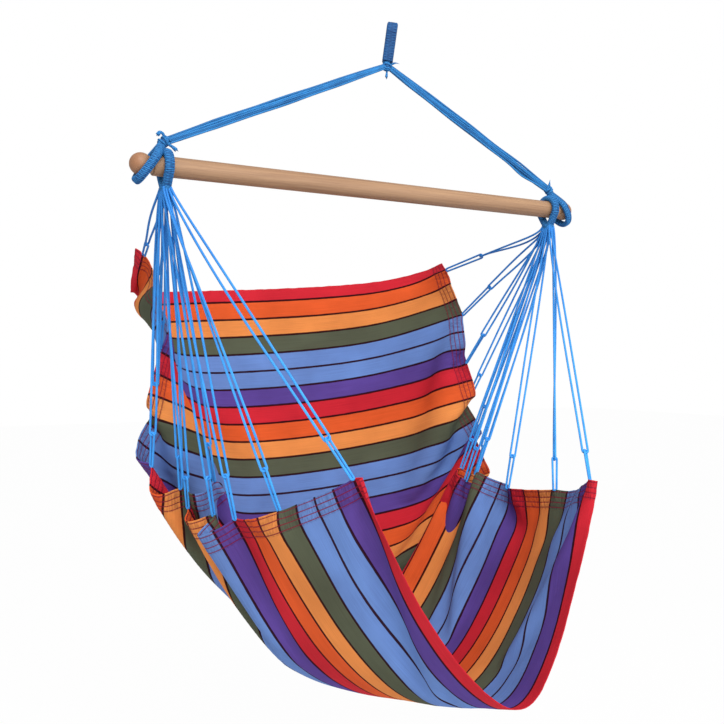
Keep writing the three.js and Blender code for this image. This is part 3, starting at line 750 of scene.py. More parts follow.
@dataclass
class HitchedBand:
    """A loop of cords that are covered by a row of hitches. Its hole runs along X and its foot is above.

    The centre line is a half-ellipse below, closed in by two straight arms to the foot. The section is a
    flattened round, ribbed by the hitches, with a line of small knots along the outside.
    """

    bow_width: float
    bow_depth: float
    thickness: float
    foot_width: float
    foot_height: float
    band: float
    pitch: float = 3.1 * MM
    slant: float = 0.5
    rib: float = 0.55 * MM
    knot: float = 0.7 * MM
    knot_place: float = 0.0
    ridge: float = 0.0
    shoulder: float = math.pi / 7

    def centre_line(self) -> Array:
        """Points of the centre line in the YZ plane, from one arm's foot round the bow to the other's.

        Returns:
            The points, one a row.
        """
        half = self.thickness / 2
        angle = np.linspace(math.pi - self.shoulder, 2 * math.pi + self.shoulder, 40)
        bow = np.stack([0 * angle, np.cos(angle), np.sin(angle)], axis=1)
        bow = bow * (1, self.bow_width + half, self.bow_depth + half)
        foot = max(self.foot_width / 2 - half, 0.0012)
        start = np.array([[0, -foot, self.foot_height], [0, -foot - 0.001, self.foot_height - 0.006]])
        return np.concatenate([start, bow[::4], [bow[-1]], (start * (1, -1, 1))[::-1]])

    def surface(self, shade: float = 1.0) -> Surface:
        """The ribbed band.

        With w across the band and s along it, the rib's phase is s over the pitch plus slant times w, so
        ribs lean. A point moves out by rib times the sine's size, by knot at each hitch near knot_place,
        and by ridge at the band's two edges.

        Args:
            shade: How light the crests are, from 0 to 1.

        Returns:
            The surface about the loop's own origin.
        """
        controls = self.centre_line()
        length = distances(spline_through(controls, 400))[-1]
        count = int(length / self.pitch * 8)
        path = spline_through(controls, count)
        tangent = tangents(path, False)
        outward = unit(np.cross(tangent, X))
        angle = np.linspace(0, 2 * math.pi, 44, endpoint=False)
        wide = np.sign(np.cos(angle)) * np.abs(np.cos(angle)) ** 0.72
        high = np.sign(np.sin(angle)) * np.abs(np.sin(angle)) ** 0.86
        along = distances(path)[:, None]
        phase = along / self.pitch + self.slant * wide[None, :]
        rib = np.abs(np.sin(math.pi * phase)) ** 0.8
        hitch = np.exp(-(((wide - self.knot_place) / 0.22) ** 2)) * (high > 0)
        knots = hitch[None, :] * (0.5 - 0.5 * np.cos(2 * math.pi * (phase + 0.25)))
        ridge = np.exp(-(((np.abs(wide) - 0.74) / 0.16) ** 2)) * np.abs(high)
        out = self.rib * (rib - 0.6) + self.knot * (knots - 0.35 * hitch[None, :])
        out = out + self.ridge * (ridge - 0.5)[None, :]
        across = X[None, None] * (self.band / 2) * wide[None, :, None]
        over = outward[:, None] * (self.thickness / 2) * high[None, :, None]
        angle = angle[None, :, None]
        swell = unit(X[None, None] * np.cos(angle) + outward[:, None] * np.sin(angle))
        points = path[:, None] + across + over + swell * out[..., None]
        # Painted shade: the shade value is darkest in the gaps between the ribs and beside the hitches'
        # knots.
        relief = np.clip(0.05 + 0.95 * rib - 0.5 * hitch[None, :] * (1 - knots), 0, 1)
        made = Surface()
        made.add_grid(points, grid_uvs(along[:, 0], 45), shade=relief * shade)
        return made


def moved(surface: Surface, place: Array, turn: Array = np.eye(3)) -> Surface:
    """A surface turned by a matrix and then moved."""
    surface.points = [points @ turn.T + place for points in surface.points]
    return surface


def rotation(axis: str, degrees: float) -> Array:
    """The matrix of a turn about x, y or z.

    Args:
        axis: The axis's letter.
        degrees: The angle of the turn.

    Returns:
        The matrix, 3 by 3.
    """
    c, s = math.cos(math.radians(degrees)), math.sin(math.radians(degrees))
    rows = {
        "x": ((1, 0, 0), (0, c, -s), (0, s, c)),
        "y": ((c, 0, s), (0, 1, 0), (-s, 0, c)),
        "z": ((c, -s, 0), (s, c, 0), (0, 0, 1)),
    }
    return np.array(rows[axis], float)


@dataclass
class Binding:
    """A knot: turns of cord wrapped round a core, and cut tails that fray at their ends."""

    diameter: float
    axis: Array
    turns: int = 5
    cord: float = 3.4 * MM
    reach: float = 0.9
    seed: int = 1

    def add_core(self, surface: Surface) -> None:
        """Adds a lumpy ball: the radius is the knot's times one plus small waves in both angles.

        Args:
            surface: The mesh that it is added to.
        """
        lat = np.linspace(0.02, math.pi - 0.02, 22)[:, None]
        lon = np.linspace(0, 2 * math.pi, 32, endpoint=False)[None, :]
        radius = self.diameter * 0.42 * (1 + 0.05 * np.sin(5 * lon + 3 * lat) * np.sin(lat))
        flat, height = radius * np.sin(lat), radius * np.cos(lat)
        ball = np.stack(np.broadcast_arrays(flat * np.cos(lon), flat * np.sin(lon), height), axis=-1)
        surface.add_grid(ball[:, ::-1], grid_uvs(lat[:, 0] * 0.01, 33), shade=0.45)

    def add_turns(self, surface: Surface) -> None:
        """Adds closed turns of cord round the axis, each a little tilted and set along it.

        Args:
            surface: The mesh that they are added to.
        """
        rng = np.random.default_rng(self.seed)
        axis = unit(self.axis)
        side = unit(np.cross(axis, Y if abs(axis[1]) < 0.9 else X))
        other = np.cross(axis, side)
        angle = np.linspace(0, 2 * math.pi, 40, endpoint=False)[:, None]
        for turn in range(self.turns):
            place = (turn / max(self.turns - 1, 1) - 0.5) * self.reach * self.diameter
            tilt = rng.uniform(-0.25, 0.25) + (0.5 if turn % 2 else -0.3)
            size = self.diameter / 2 * (1 - 0.45 * (2 * place / self.diameter) ** 2) - self.cord * 0.2
            ring = size * (side * np.cos(angle) + other * np.sin(angle))
            ring = ring + axis * (place + tilt * size * 0.6 * np.cos(angle + rng.uniform(0, 6)))
            add_tube(surface, ring, self.cord / 2, axis, 10, closed=True, shade=0.95)

    def add_tail(
        self, surface: Surface, controls: Array, radius: float, point: bool, facing: Array = Y
    ) -> None:
        """Adds a cut tail.

        Args:
            surface: The mesh that it is added to.
            controls: Points that it passes through, in metres from the knot's middle.
            radius: Its radius.
            point: Whether it ends in a point, and not in a brush of fibres.
            facing: A direction that it never runs along.
        """
        rng = np.random.default_rng(self.seed + 40)
        path = spline_through(np.asarray(controls, float), 26)
        t = np.linspace(0, 1, 26)
        shape = 1 - step(t, 0.35, 1.0) * 0.86 if point else 0.9 + 0.35 * step(t, 0.6, 0.95)
        add_tube(surface, path, radius * shape, facing, 10, shade=0.9)
        if point:
            return
        end, ahead = path[-1], unit(path[-1] - path[-3])
        for _ in range(12):
            lean = unit(ahead + rng.normal(0, 0.34, 3))
            start = end - ahead * 0.0015 + rng.normal(0, radius * 0.4, 3)
            fibre = start + lean * np.linspace(0, rng.uniform(0.003, 0.0055), 5)[:, None]
            add_tube(surface, fibre, radius * 0.2 * np.linspace(1, 0.5, 5), facing + 0.1 * X, 5, shade=0.85)


@dataclass
class RopeLeg:
    """A leg of parallel cords from the throat to a knot over the bar's end.

    Cord k keeps the place (h, t) in a flat bundle that is narrow where it is bound: its point is the leg's
    line plus rise times h times the bundle's height plus Y times t times its thickness, and each cord
    wanders a little.
    """

    start: Array
    end: Array
    height: float
    thickness: float
    cord: float = 4.0 * MM
    cords: int = 9
    wander: float = 0.5 * MM
    belly: float = 0.0
    seed: int = 3

    stations = ((0, 0.50, 0.9), (0.12, 0.75, 1), (0.45, 1, 0.9), (0.8, 1, 0.95), (1, 0.70, 1))
    shades = (0.95, 0.55, 0.85, 1.0, 0.7)

    def surface(self) -> Surface:
        """All the cords as one mesh.

        Returns:
            The surface about the bar's middle.
        """
        rng = np.random.default_rng(self.seed)
        made = Surface()
        share = np.linspace(0, 1, 120)
        table = np.array(self.stations)
        tall = np.interp(share, table[:, 0], table[:, 1]) * (self.height - self.cord) / 2
        deep = np.interp(share, table[:, 0], table[:, 2]) * (self.thickness - self.cord) / 2
        along = self.end - self.start
        rise = unit(np.cross(Y, along))
        rise = rise if rise[2] > 0 else -rise
        line = self.start + along * share[:, None]
        length = float(np.linalg.norm(along))
        front = (self.cords + 1) // 2
        for number in range(self.cords):
            ahead = number < front
            row = front if ahead else self.cords - front
            place = (number if ahead else number - front) / (row - 1) * 2 - 1
            place *= 1 if ahead else 0.78
            depth = -1 if ahead else 1
            sway = waves(share * length, (0.31, 0.19, 0.13), rng) * self.wander
            lift = waves(share * length, (0.37, 0.23), rng) * self.wander
            path = line + rise * (place * tall + sway)[:, None] + Y * (depth * deep + lift * 0.5)[:, None]
            if self.belly and number == 0:
                path -= rise * (self.belly * np.exp(-(((share - 0.83) / 0.07) ** 2)))[:, None]
            add_tube(made, path, self.cord / 2 * 1.04, Y, 10, shade=self.shades[number % len(self.shades)])
        return made


@dataclass
class SeatCord:
    """One cord of the seat: a hairpin from the neck to its loop on the hem, and that loop."""

    side: Side
    number: int
    drop: float = 0.042
    cord: float = 4.6 * MM
    spacing: float = 4.3 * MM
    stub: float = 0.016
    bend: float = 5.5 * MM
    loop_bend: float = 4.8 * MM
    loop_end: float = 3.6 * MM
    clearance: float = 0.3 * MM
    loop_turn: float = 48.0

    def __post_init__(self) -> None:
        """Works out the ends and directions from the hem's table."""
        _, reach, depth, drop, loop, slot, outer = HEM_CORDS[self.side][self.number - 1]
        middle = (slot - (len(STUBS) - 1) / 2) * self.spacing
        across = self.side.value * (HARNESS_REACH + (2 * outer - 1) * self.spacing)
        self.place = np.array([across, middle, -self.drop - self.clearance])
        self.top = self.place - Z * self.stub * STUBS[int(slot)]
        self.pin = np.array([reach, depth, drop]) * HEM
        self.ahead = unit(self.pin - self.top)
        wide = unit(np.cross(self.ahead, np.array([1.0, 2.0, 0.0])))
        self.wide = wide if wide[0] > 0 else -wide
        self.deep = unit(np.cross(self.ahead, self.wide))
        self.link = self.pin - self.ahead * loop * HEM_LOOP
        self.bend_centre = self.link + self.ahead * ((self.cord + self.clearance) / 2 - self.bend)
        turn = math.radians(self.loop_turn if self.number % 3 else -self.loop_turn * 0.8)
        if self.number == 1 or (self.side is Side.RIGHT and self.number == 11):
            self.wide, self.deep, turn = self.deep, -self.wide, 0.0
        self.loop_across = self.deep * math.cos(turn) + self.wide * math.sin(turn)

    @property
    def label(self) -> str:
        """The two-digit number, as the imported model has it."""
        return f"{self.number:02d}"

    def half_turn(self, centre: Array, across: Array, ahead: Array, radius: float) -> Array:
        """Points on a squarish half turn about a centre, from -across through ahead to +across.

        Args:
            centre: The middle of the turn.
            across: A unit direction across it.
            ahead: The unit direction that it bulges in.
            radius: Its radius.

        Returns:
            Thirteen points.
        """
        angle = np.linspace(0, math.pi, 13)[:, None]
        cosine, sine = np.cos(angle), np.sin(angle)
        sideways = across * radius * np.sign(cosine) * np.abs(cosine) ** 0.75
        return centre - sideways + ahead * radius * sine**0.75

    def run(self, sign: int, rng: np.random.Generator) -> Array:
        """One leg of the hairpin, from inside the neck to where the bend starts.

        It is the cubic between the neck, going down and out, and the bend, going ahead, with a slight bow
        that is greatest in the middle. The legs of every other cord cross on the way.

        Args:
            sign: Which of the two legs, -1 or 1.
            rng: The source of the bow's chance share.

        Returns:
            Points along the leg.
        """
        swap = -1 if self.number % 2 else 1
        start = self.place + X * sign * swap * self.spacing / 2 + Z * 0.004
        end = self.bend_centre + self.wide * sign * self.bend
        span = float(np.linalg.norm(end - start))
        t = np.linspace(0, 1, max(int(span / 0.008), 20))[:, None]
        fan = start - X * self.side.value * HARNESS_REACH
        handle_start = start - Z * 0.03 + fan * (1.1, 0.5, 0)
        handle_end = end - self.ahead * span / 3
        path = (1 - t) ** 3 * start + 3 * (1 - t) ** 2 * t * handle_start
        path = path + 3 * (1 - t) * t**2 * handle_end + t**3 * end
        bow = sign * rng.uniform(-0.001, 0.005) * self.wide
        bow = bow + (sign * 0.0024 + rng.normal(0, 0.001)) * self.deep
        return path + bow * np.sin(math.pi * t) ** 2

    def string(self) -> Surface:
        """The hairpin.

        Returns:
            The surface about the bar's middle.
        """
        rng = np.random.default_rng(100 * self.number + self.side.value)
        turn = self.half_turn(self.bend_centre, self.wide, self.ahead, self.bend)
        path = np.concatenate([self.run(-1, rng)[:-1], turn, self.run(1, rng)[-2::-1]])
        made = Surface()
        add_tube(made, path, self.cord / 2, self.deep, 10, shade=self.shade(path))
        return made

    def shade(self, path: Array) -> Array:
        """How light the cord is along a path: darker up in the bundle, where the cords shade each other."""
        return 0.58 + 0.42 * step(-path[:, 2], 0.08, 0.42)

    def hem_loop(self) -> Surface:
        """The closed loop from the hairpin to the hem's edge.

        Returns:
            The surface about the bar's middle.
        """
        inner = self.link + self.ahead * (self.loop_bend - (self.cord + self.clearance) / 2)
        upper = self.half_turn(inner, self.loop_across, -self.ahead, self.loop_bend)
        outer = self.pin - self.ahead * 0.002
        lower = self.half_turn(outer, self.loop_across, self.ahead, self.loop_end)[::-1]
        t = np.linspace(0, 1, 14)[1:-1, None]
        down = upper[-1] + (lower[0] - upper[-1]) * t
        up = lower[-1] + (upper[0] - lower[-1]) * t
        path = np.concatenate([upper, down, lower, up])
        made = Surface()
        facing = np.cross(self.ahead, self.loop_across)
        add_tube(made, path, self.cord / 2, facing, 10, closed=True, shade=self.shade(path))
        return made


class Cloth:
    """The striped cloth, hung from its stiff top selvedge and its cords, then given hems and folds."""

    stripes = 36
    width = 1.040
    rows = 36
    columns = 14
    middle_flatness = 2.4
    wing_push = (-0.0170, 0.0100, 0.0)

    def __init__(self) -> None:
        """Works out the cloth's length across the stripes."""
        self.length = float(self.distance(np.array(self.stripes)))

    def distance(self, stripe: Array) -> Array:
        """Distance from the top selvedge to a stripe's boundary.

        Args:
            stripe: The stripe's number, from 0 at the selvedge.

        Returns:
            The distance along the cloth.
        """
        full = np.clip(stripe - 1, 0, self.stripes - 2)
        edges = np.minimum(stripe, 1) + np.maximum(stripe - self.stripes + 1, 0)
        return edges * EDGE_WIDTH + full * STRIPE_WIDTH

    def stripe(self, distance: Array) -> Array:
        """The stripe at a distance from the top selvedge.

        Args:
            distance: The distance along the cloth.

        Returns:
            The stripe's number, with its fraction.
        """
        inner = (distance - EDGE_WIDTH) / STRIPE_WIDTH
        full = np.clip(inner, 0, self.stripes - 2)
        beyond = np.maximum(inner - full, 0) * STRIPE_WIDTH / EDGE_WIDTH
        return np.minimum(distance / EDGE_WIDTH, 1) + full + beyond

    def hem_points(self, side: Side) -> tuple[Array, Array]:
        """The hem's fixed places, as stripes and points."""
        table = np.array([*(row[:4] for row in HEM_CORDS[side]), HEM_FRONTS[side]])
        return table[:, 0], table[:, 1:] * HEM

    def hem_line(self, side: Side, corner: Array) -> tuple[Array, Array]:
        """The hem before the cloth is let go, from its upper corner, as stripes and points."""
        stripes, points = self.hem_points(side)
        return np.concatenate([[0], stripes]), np.concatenate([[corner], points])

    def widths(self, rows: int) -> Array:
        """The cloth's width between its hems at each row.

        Args:
            rows: The grid's rows, less one.

        Returns:
            The widths.
        """
        table = np.array(WIDTHS)
        stripe = self.stripe(np.linspace(0, self.length, rows + 1))
        return np.interp(stripe, table[:, 0], table[:, 1]) * self.width

    def start(self) -> Array:
        """The cloth's grid before it is let go: chords between the hems, pushed out to the middle line.

        Returns:
            The grid, rows by columns by 3.
        """
        top = spline_through(np.array(SELVEDGE) * HEM, self.columns + 1)
        stripe = self.stripe(np.linspace(0, self.length, self.rows + 1))

        def at(places: Array, points: Array) -> Array:
            """The points at each row, straight between the given places."""
            return np.stack([np.interp(stripe, places, column) for column in points.T], axis=-1)

        left, right = at(*self.hem_line(Side.LEFT, top[0])), at(*self.hem_line(Side.RIGHT, top[-1]))
        table = np.array(MIDDLE)
        middle = at(table[:, 0], np.column_stack([0 * table[:, 0], table[:, 1:]]) * HEM)
        v = np.linspace(-1, 1, self.columns + 1)[None, :, None]
        weight = 1 - np.abs(v) ** self.middle_flatness
        chord = left[:, None] * (1 - v) / 2 + right[:, None] * (1 + v) / 2
        sag = (middle - (left + right) / 2)[:, None] * weight
        seat = chord + sag
        half = (right - left)[:, None, 0] / 2
        seat[..., 0] = chord[..., 0] + half * (np.sin(v[..., 0] * math.pi / 2) - v[..., 0])
        top_chord = top[0] * (1 - v) / 2 + top[-1] * (1 + v) / 2
        top_middle = top[self.columns // 2] - (top[0] + top[-1]) / 2
        back = chord + sag - top_middle * weight + top - top_chord
        share = step(stripe, 0, self.stripes / 2)[:, None, None]
        grid = back * (1 - share) + seat * share
        grid[0] = top
        return grid

    def threads(self, rows: int, columns: int) -> list[tuple]:
        """The threads between neighbouring points, in groups that share no point.

        Returns:
            For each group, the two sets of points, the rest length, the stiffness, and whether it only
            pushes.
        """
        rise = self.length / rows
        run = (self.widths(rows) / columns)[:, None, None]
        every = slice(None)
        groups: list[tuple] = []

        def pairs(size: int, gap: int, first: int, stride: int) -> tuple[slice, slice]:
            """Every so many of the rows or columns, and those that lie a gap further on."""
            return slice(first, size - gap, stride), slice(first + gap, size, stride)

        def add_straight(gap: int, stride: int, stiffness: float, pushes: bool) -> None:
            """Adds the threads down the cloth and across it over one gap.

            Args:
                gap: How many points on the far end of a thread is.
                stride: How many groups share out the threads.
                stiffness: How much of a stretch is taken back.
                pushes: Whether they only push.
            """
            for first in range(stride):
                a, b = pairs(rows + 1, gap, first, stride)
                groups.append(((a, every), (b, every), gap * rise, stiffness, pushes))
                a, b = pairs(columns + 1, gap, first, stride)
                groups.append(((every, a), (every, b), gap * run, stiffness, pushes))

        add_straight(1, 2, 1.0, False)
        for first in range(2):
            upper, lower = pairs(rows + 1, 1, first, 2)
            slant = np.sqrt(rise**2 + run[upper] ** 2)
            near, far = slice(0, columns), slice(1, columns + 1)
            groups.append(((upper, near), (lower, far), slant, 0.4, False))
            groups.append(((upper, far), (lower, near), slant, 0.4, False))
        add_straight(2, 4, 0.08, True)
        return groups

    def settle(self, grid: Array, steps: int, pause: float, kept: float) -> Array:
        """Lets the grid hang.

        In each step every free point keeps its motion and falls by gravity times the pause squared, and
        then each thread pulls its two points toward its own length.

        Args:
            grid: The points to start from.
            steps: How many steps are taken.
            pause: The time of a step, in seconds.
            kept: The share of the motion that is kept.

        Returns:
            The settled grid.
        """
        rows, columns = grid.shape[0] - 1, grid.shape[1] - 1
        free = np.ones((rows + 1, columns + 1, 1))
        free[0] = 0
        grid[0] = spline_through(np.array(SELVEDGE) * HEM, columns + 1)
        for side, column in ((Side.LEFT, 0), (Side.RIGHT, columns)):
            stripes, points = self.hem_points(side)
            index = np.rint(self.distance(stripes) / self.length * rows).astype(int)
            grid[index, column] = points
            free[index, column] = 0
        groups = []
        for a, b, rest, stiffness, pushes in self.threads(rows, columns):
            ends = np.maximum(free[a] + free[b], 1)
            groups.append((a, b, rest, stiffness * free[a] / ends, stiffness * free[b] / ends, pushes))
        motion = np.zeros_like(grid)
        for _ in range(steps):
            before = grid.copy()
            grid += (motion * kept - Z * 9.81 * pause**2) * free
            for a, b, rest, share_a, share_b, pushes in groups:
                span = grid[b] - grid[a]
                size = np.sqrt((span * span).sum(axis=-1, keepdims=True)) + 1e-12
                excess = (size - rest) / size
                if pushes:
                    excess = np.minimum(excess, 0)
                grid[a] += share_a * excess * span
                grid[b] -= share_b * excess * span
            motion = grid - before
        return grid

    def doubled(self, grid: Array) -> Array:
        """The grid twice as fine: a new point is 9/16 of each neighbour less 1/16 of the next ones.

        Args:
            grid: The grid.

        Returns:
            The finer grid.
        """
        for axis in (0, 1):
            a = np.moveaxis(grid, axis, 0)
            e = with_mirrored_ends(a)
            made = np.empty((2 * len(a) - 1, *a.shape[1:]))
            made[::2] = a
            made[1::2] = (-e[:-3] + 9 * e[1:-2] + 9 * e[2:-1] - e[3:]) / 16
            grid = np.moveaxis(made, 0, axis)
        return grid

    def hung(self) -> Array:
        """The settled grid, solved coarse first and then at two and four times that fineness.

        Returns:
            The grid.
        """
        grid = self.settle(self.start(), 1800, 0.0030, 0.99)
        grid = self.settle(self.doubled(grid), 900, 0.0015, 0.985)
        return self.settle(self.doubled(grid), 700, 0.0008, 0.98)

    def resampled(self, grid: Array, places: Array, axis: int) -> Array:
        """The grid at new places along one axis, on the cubic through each four neighbouring points.

        Args:
            grid: The grid.
            places: The new places, from 0 to 1.
            axis: 0 for rows, 1 for columns.

        Returns:
            The new grid.
        """
        a = np.moveaxis(grid, axis, 0)
        last = len(a) - 1
        index = np.clip(np.floor(places * last).astype(int), 0, last - 1)
        t = (places * last - index).reshape(-1, *([1] * (a.ndim - 1)))
        around = (a[np.clip(index + shift, 0, last)] for shift in (-1, 0, 1, 2))
        return np.moveaxis(cubic(*around, t), 0, axis)

    def normals(self, grid: Array) -> Array:
        """The direction across the cloth's face at each point."""
        return unit(np.cross(np.gradient(grid, axis=0), np.gradient(grid, axis=1)))

    def half_thickness(self, edge: Array) -> Array:
        """Half the thickness: greater in the hems, and puffed there between the rows of stitching.

        Args:
            edge: Distance from the nearer hem.

        Returns:
            The half thickness at each point.
        """
        in_hem = 1 - step(edge, HEM_WIDTH - 0.001, HEM_WIDTH + 0.0012)
        row = (edge - (FIRST_ROW - ROW_SPACING / 2)) / ROW_SPACING
        to_row = np.abs(row - np.floor(row) - 0.5) * ROW_SPACING
        quilt = in_hem * (1 - np.exp(-((to_row / 0.0018) ** 2))) * step(edge, 0.001, 0.004)
        return 0.0005 + 0.0004 * in_hem + 0.0005 * quilt

    def relief(self, s: Array, v: Array, edge: Array, rng: np.random.Generator) -> Array:
        """How far the faces stand out from the settled grid.

        Small gathers run along the hems, longer creases run in from them and fade, and soft waves lie all
        over.

        Args:
            s: Distance from the top selvedge.
            v: Distance from the left hem.
            edge: Distance from the nearer hem.
            rng: The source of the waves' phases.

        Returns:
            The height at each point.
        """
        left = v < self.width / 2
        gather = np.where(left, waves(s, (0.017, 0.023, 0.031), rng), waves(s, (0.018, 0.025, 0.033), rng))
        crease = np.where(left, waves(s, (0.052, 0.071, 0.113), rng), waves(s, (0.049, 0.083, 0.121), rng))
        lift = gather * 0.0008 * np.exp(-((edge / 0.055) ** 2))
        lift = lift + crease * 0.0022 * np.exp(-((edge / 0.16) ** 2))
        soft = waves(s + 0.35 * v, (0.19, 0.31), rng) * waves(v - 0.2 * s, (0.23, 0.37, 0.52), rng)
        return lift + soft * 0.0022

    def wing(self, stripe: Array, share: Array) -> Array:
        """How far the upper left of the cloth bulges, from 0 to 1, by stripe and share of the width."""
        down = step(stripe, 0.2, 1.6) * (1 - step(stripe, 7.0, 11.5))
        return down * (1 - np.exp(-((share / 0.035) ** 2))) * np.exp(-(((share - 0.1) / 0.13) ** 2))

    def surface(self) -> Surface:
        """The finished cloth as a closed thin body.

        Two faces stand half the thickness either side of the settled grid, moved by the relief and by the
        bulge of the upper left wing. The two free edges wave slightly, most at the upper left ear.
        """
        rng = np.random.default_rng(11)
        share = HEM_WIDTH * 1.02 / self.width
        ends = np.linspace(0, share, 17)
        columns = np.concatenate(
            [ends[:-1], np.linspace(share, 1 - share, 92)[:-1], np.linspace(1 - share, 1, 17)]
        )
        rows = np.linspace(0, 1, 381)
        grid = self.resampled(self.resampled(self.hung(), rows, 0), columns, 1)
        s = (rows * self.length)[:, None]
        v = columns[None, :] * self.width
        width = self.widths(len(rows) - 1)[:, None]
        edge = np.minimum(v, self.width - v) * np.ones_like(width)
        normal = self.normals(grid)
        grid = grid + normal * self.relief(s, v, edge, rng)[..., None]
        grid = grid + self.wing(self.stripe(s), v / self.width)[..., None] * np.array(self.wing_push)
        border = np.exp(-s / 0.012) + np.exp(-(self.length - s) / 0.012)
        ears = np.exp(-(v / 0.07) ** 2)
        ripple = waves(v + 0 * s, (0.041, 0.027, 0.063), rng) * border * (0.0008 + 0.0030 * ears)
        grid = grid + unit(np.gradient(grid, axis=0)) * ripple[..., None]
        half = self.half_thickness(edge)[..., None]
        uvs = np.stack(np.broadcast_arrays(s, (columns[None, :] - 0.5) * width), axis=-1)
        made = Surface()
        for sign in (1, -1):
            points = grid + sign * normal * half
            made.add_grid(points, uvs, round_across=False, hem_distance=edge)
            if sign < 0:
                made.faces[-1] = made.faces[-1][:, ::-1]
                made.corner_uvs[-1] = made.corner_uvs[-1].reshape(-1, 4, 2)[:, ::-1].reshape(-1, 2)
        self.add_rim(made, uvs)
        return made

    def add_rim(self, made: Surface, uvs: Array) -> None:
        """Closes the two faces along the cloth's border.

        Args:
            made: The surface that holds the two faces.
            uvs: The UVs of one face.
        """
        rows, columns = uvs.shape[:2]
        index = np.arange(rows * columns).reshape(rows, columns)
        loop = np.concatenate([index[:-1, 0], index[-1, :-1], index[:0:-1, -1], index[0, :0:-1]])
        following = np.roll(loop, -1)
        count = rows * columns
        faces = np.stack([following, loop, loop + count, following + count], axis=1)
        flat = uvs.reshape(-1, 2)
        made.faces.append(faces)
        made.corner_uvs.append(flat[faces % count].reshape(-1, 2))


@dataclass
class Chair:
    """Every piece of the chair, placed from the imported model."""

    bar_centre: Array
    finishes: Finishes

    apex = np.array([0.016, 0.0, 0.262])
    tie_reach = 0.461
    tie_height = 0.045
    eye_turn = -30.0
    eye_lean = 8.0
    rope_eye_tilt = 34.0

    def place(self, surface: Surface, name: str, body: str, finish: str, node: str) -> bpy.types.Object:
        """Makes a piece from a surface about the bar's middle, on its body and in its node's place.

        Args:
            surface: The piece's shape.
            name: Its name.
            body: The body that it rides.
            finish: The name of its finish.
            node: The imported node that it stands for.

        Returns:
            The new object.
        """
        made = surface.piece(name, self.bar_centre, getattr(self.finishes, finish))
        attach(made, body)
        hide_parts(node)
        finish if finish in ("cloth", "wood") else "cord"
        LOG.info("%s: %d faces", name, len(made.data.polygons))
        return made

    def build_bar(self) -> None:
        """The wooden bar."""
        bar = SpreaderBar()
        self.place(bar.surface(), "turned_bar", "bar", "wood", "spreader_bar")

    def build_eye(self) -> None:
        """The hanging eye and the binding at its throat."""
        binding_half = 0.0093
        band = HitchedBand(
            bow_width=0.013,
            bow_depth=0.013,
            thickness=0.011,
            foot_width=0.024,
            foot_height=0.058,
            band=0.0235,
            pitch=2.5 * MM,
            slant=0.0,
            rib=0.45 * MM,
            knot=0.0,
            ridge=1.3 * MM,
        )
        # The 0.75 passed to the band is painted shade that darkens the whole hanging eye.
        surface = moved(band.surface(0.75), Z * (band.foot_height + binding_half), rotation("x", 180))
        surface = moved(surface, self.apex, rotation("z", self.eye_turn) @ rotation("y", self.eye_lean))
        self.place(surface, "braided_eye", "eye", "eye", "hanging_eye")
        binding = Binding(diameter=0.0185, axis=np.array([0.12, 0.0, 1.0]), turns=5, cord=3.6 * MM, seed=5)
        surface = Surface()
        binding.add_core(surface)
        binding.add_turns(surface)
        scale = 0.018
        right = np.array([(0, 0, 0), (0.8, -0.5, 0.32), (1.25, -0.75, 0.24)]) * scale
        below = np.array([(0, 0, 0), (0, 0, -0.7), (-0.06, 0, -1.3)]) * scale
        binding.add_tail(surface, right, 2.7 * MM, True, Z)
        binding.add_tail(surface, below, 2.3 * MM, False)
        moved(surface, self.apex)
        self.place(surface, "throat_wraps", "throat", "braid", "throat_binding")

    def build_end(self, side: Side) -> None:
        """The leg, knot and two loops at one end of the bar.

        Args:
            side: The end.
        """
        sign = side.value
        tie = np.array([sign * self.tie_reach, 0, self.tie_height])
        along = unit(tie - self.apex)
        leg = RopeLeg(
            start=self.apex + along * 0.006,
            end=tie - along * 0.004,
            height=0.0185 if side is Side.LEFT else 0.021,
            thickness=0.009,
            wander=0.7 * MM if side is Side.LEFT else 1.1 * MM,
            belly=0.0 if side is Side.LEFT else 0.006,
            seed=3 if side is Side.LEFT else 8,
        )
        label = side.label
        self.place(leg.surface(), f"{label}_leg_cords", "suspension", "braid", f"{label}_rope_leg")
        axis = np.array([sign * 0.8, 0.1, -0.5])
        knot = Binding(diameter=0.019, axis=axis, turns=5, cord=3.8 * MM, seed=20 + sign)
        surface = Surface()
        knot.add_core(surface)
        knot.add_turns(surface)
        scale = 0.019
        if side is Side.LEFT:
            up = np.array([(0, 0, 0), (-0.15, -0.2, 0.62), (-0.5, -0.3, 0.78), (-0.75, -0.35, 0.52)])
            down = np.array([(0, 0, 0), (0.5, -0.65, -0.5), (0.95, -0.75, -0.85)])
            knot.add_tail(surface, up * scale, 3.0 * MM, False)
            knot.add_tail(surface, down * scale, 3.0 * MM, False)
        else:
            up = np.array([(0, 0, 0), (0.05, -0.1, 0.75), (0.12, -0.15, 1.3)])
            knot.add_tail(surface, up * scale, 3.2 * MM, True)
        moved(surface, tie)
        self.place(surface, f"{label}_knot_wraps", "suspension", "braid", f"{label}_tie_knot")
        self.build_rope_eye(side)
        self.build_harness_eye(side)

    def build_rope_eye(self, side: Side) -> None:
        """The tilted loop round the bar's end.

        Args:
            side: The end.
        """
        tilt = math.radians(self.rope_eye_tilt)
        clear = SpreaderBar.ball / 2 + 0.0006
        band = HitchedBand(
            bow_width=clear,
            bow_depth=(clear + 0.008 * math.sin(tilt)) / math.cos(tilt),
            thickness=0.0105,
            foot_width=0.012,
            foot_height=self.tie_height / math.cos(tilt) - 0.0045,
            band=0.016,
            rib=1.0 * MM,
            knot=1.2 * MM,
            slant=0.55,
            knot_place=0.45,
        )
        reach = self.tie_reach + self.tie_height * math.tan(tilt)
        turn = rotation("y", -side.value * self.rope_eye_tilt)
        surface = moved(band.surface(), X * side.value * reach, turn)
        self.place(surface, f"{side.label}_hitched_eye", "suspension", "braid", f"{side.label}_rope_eye")

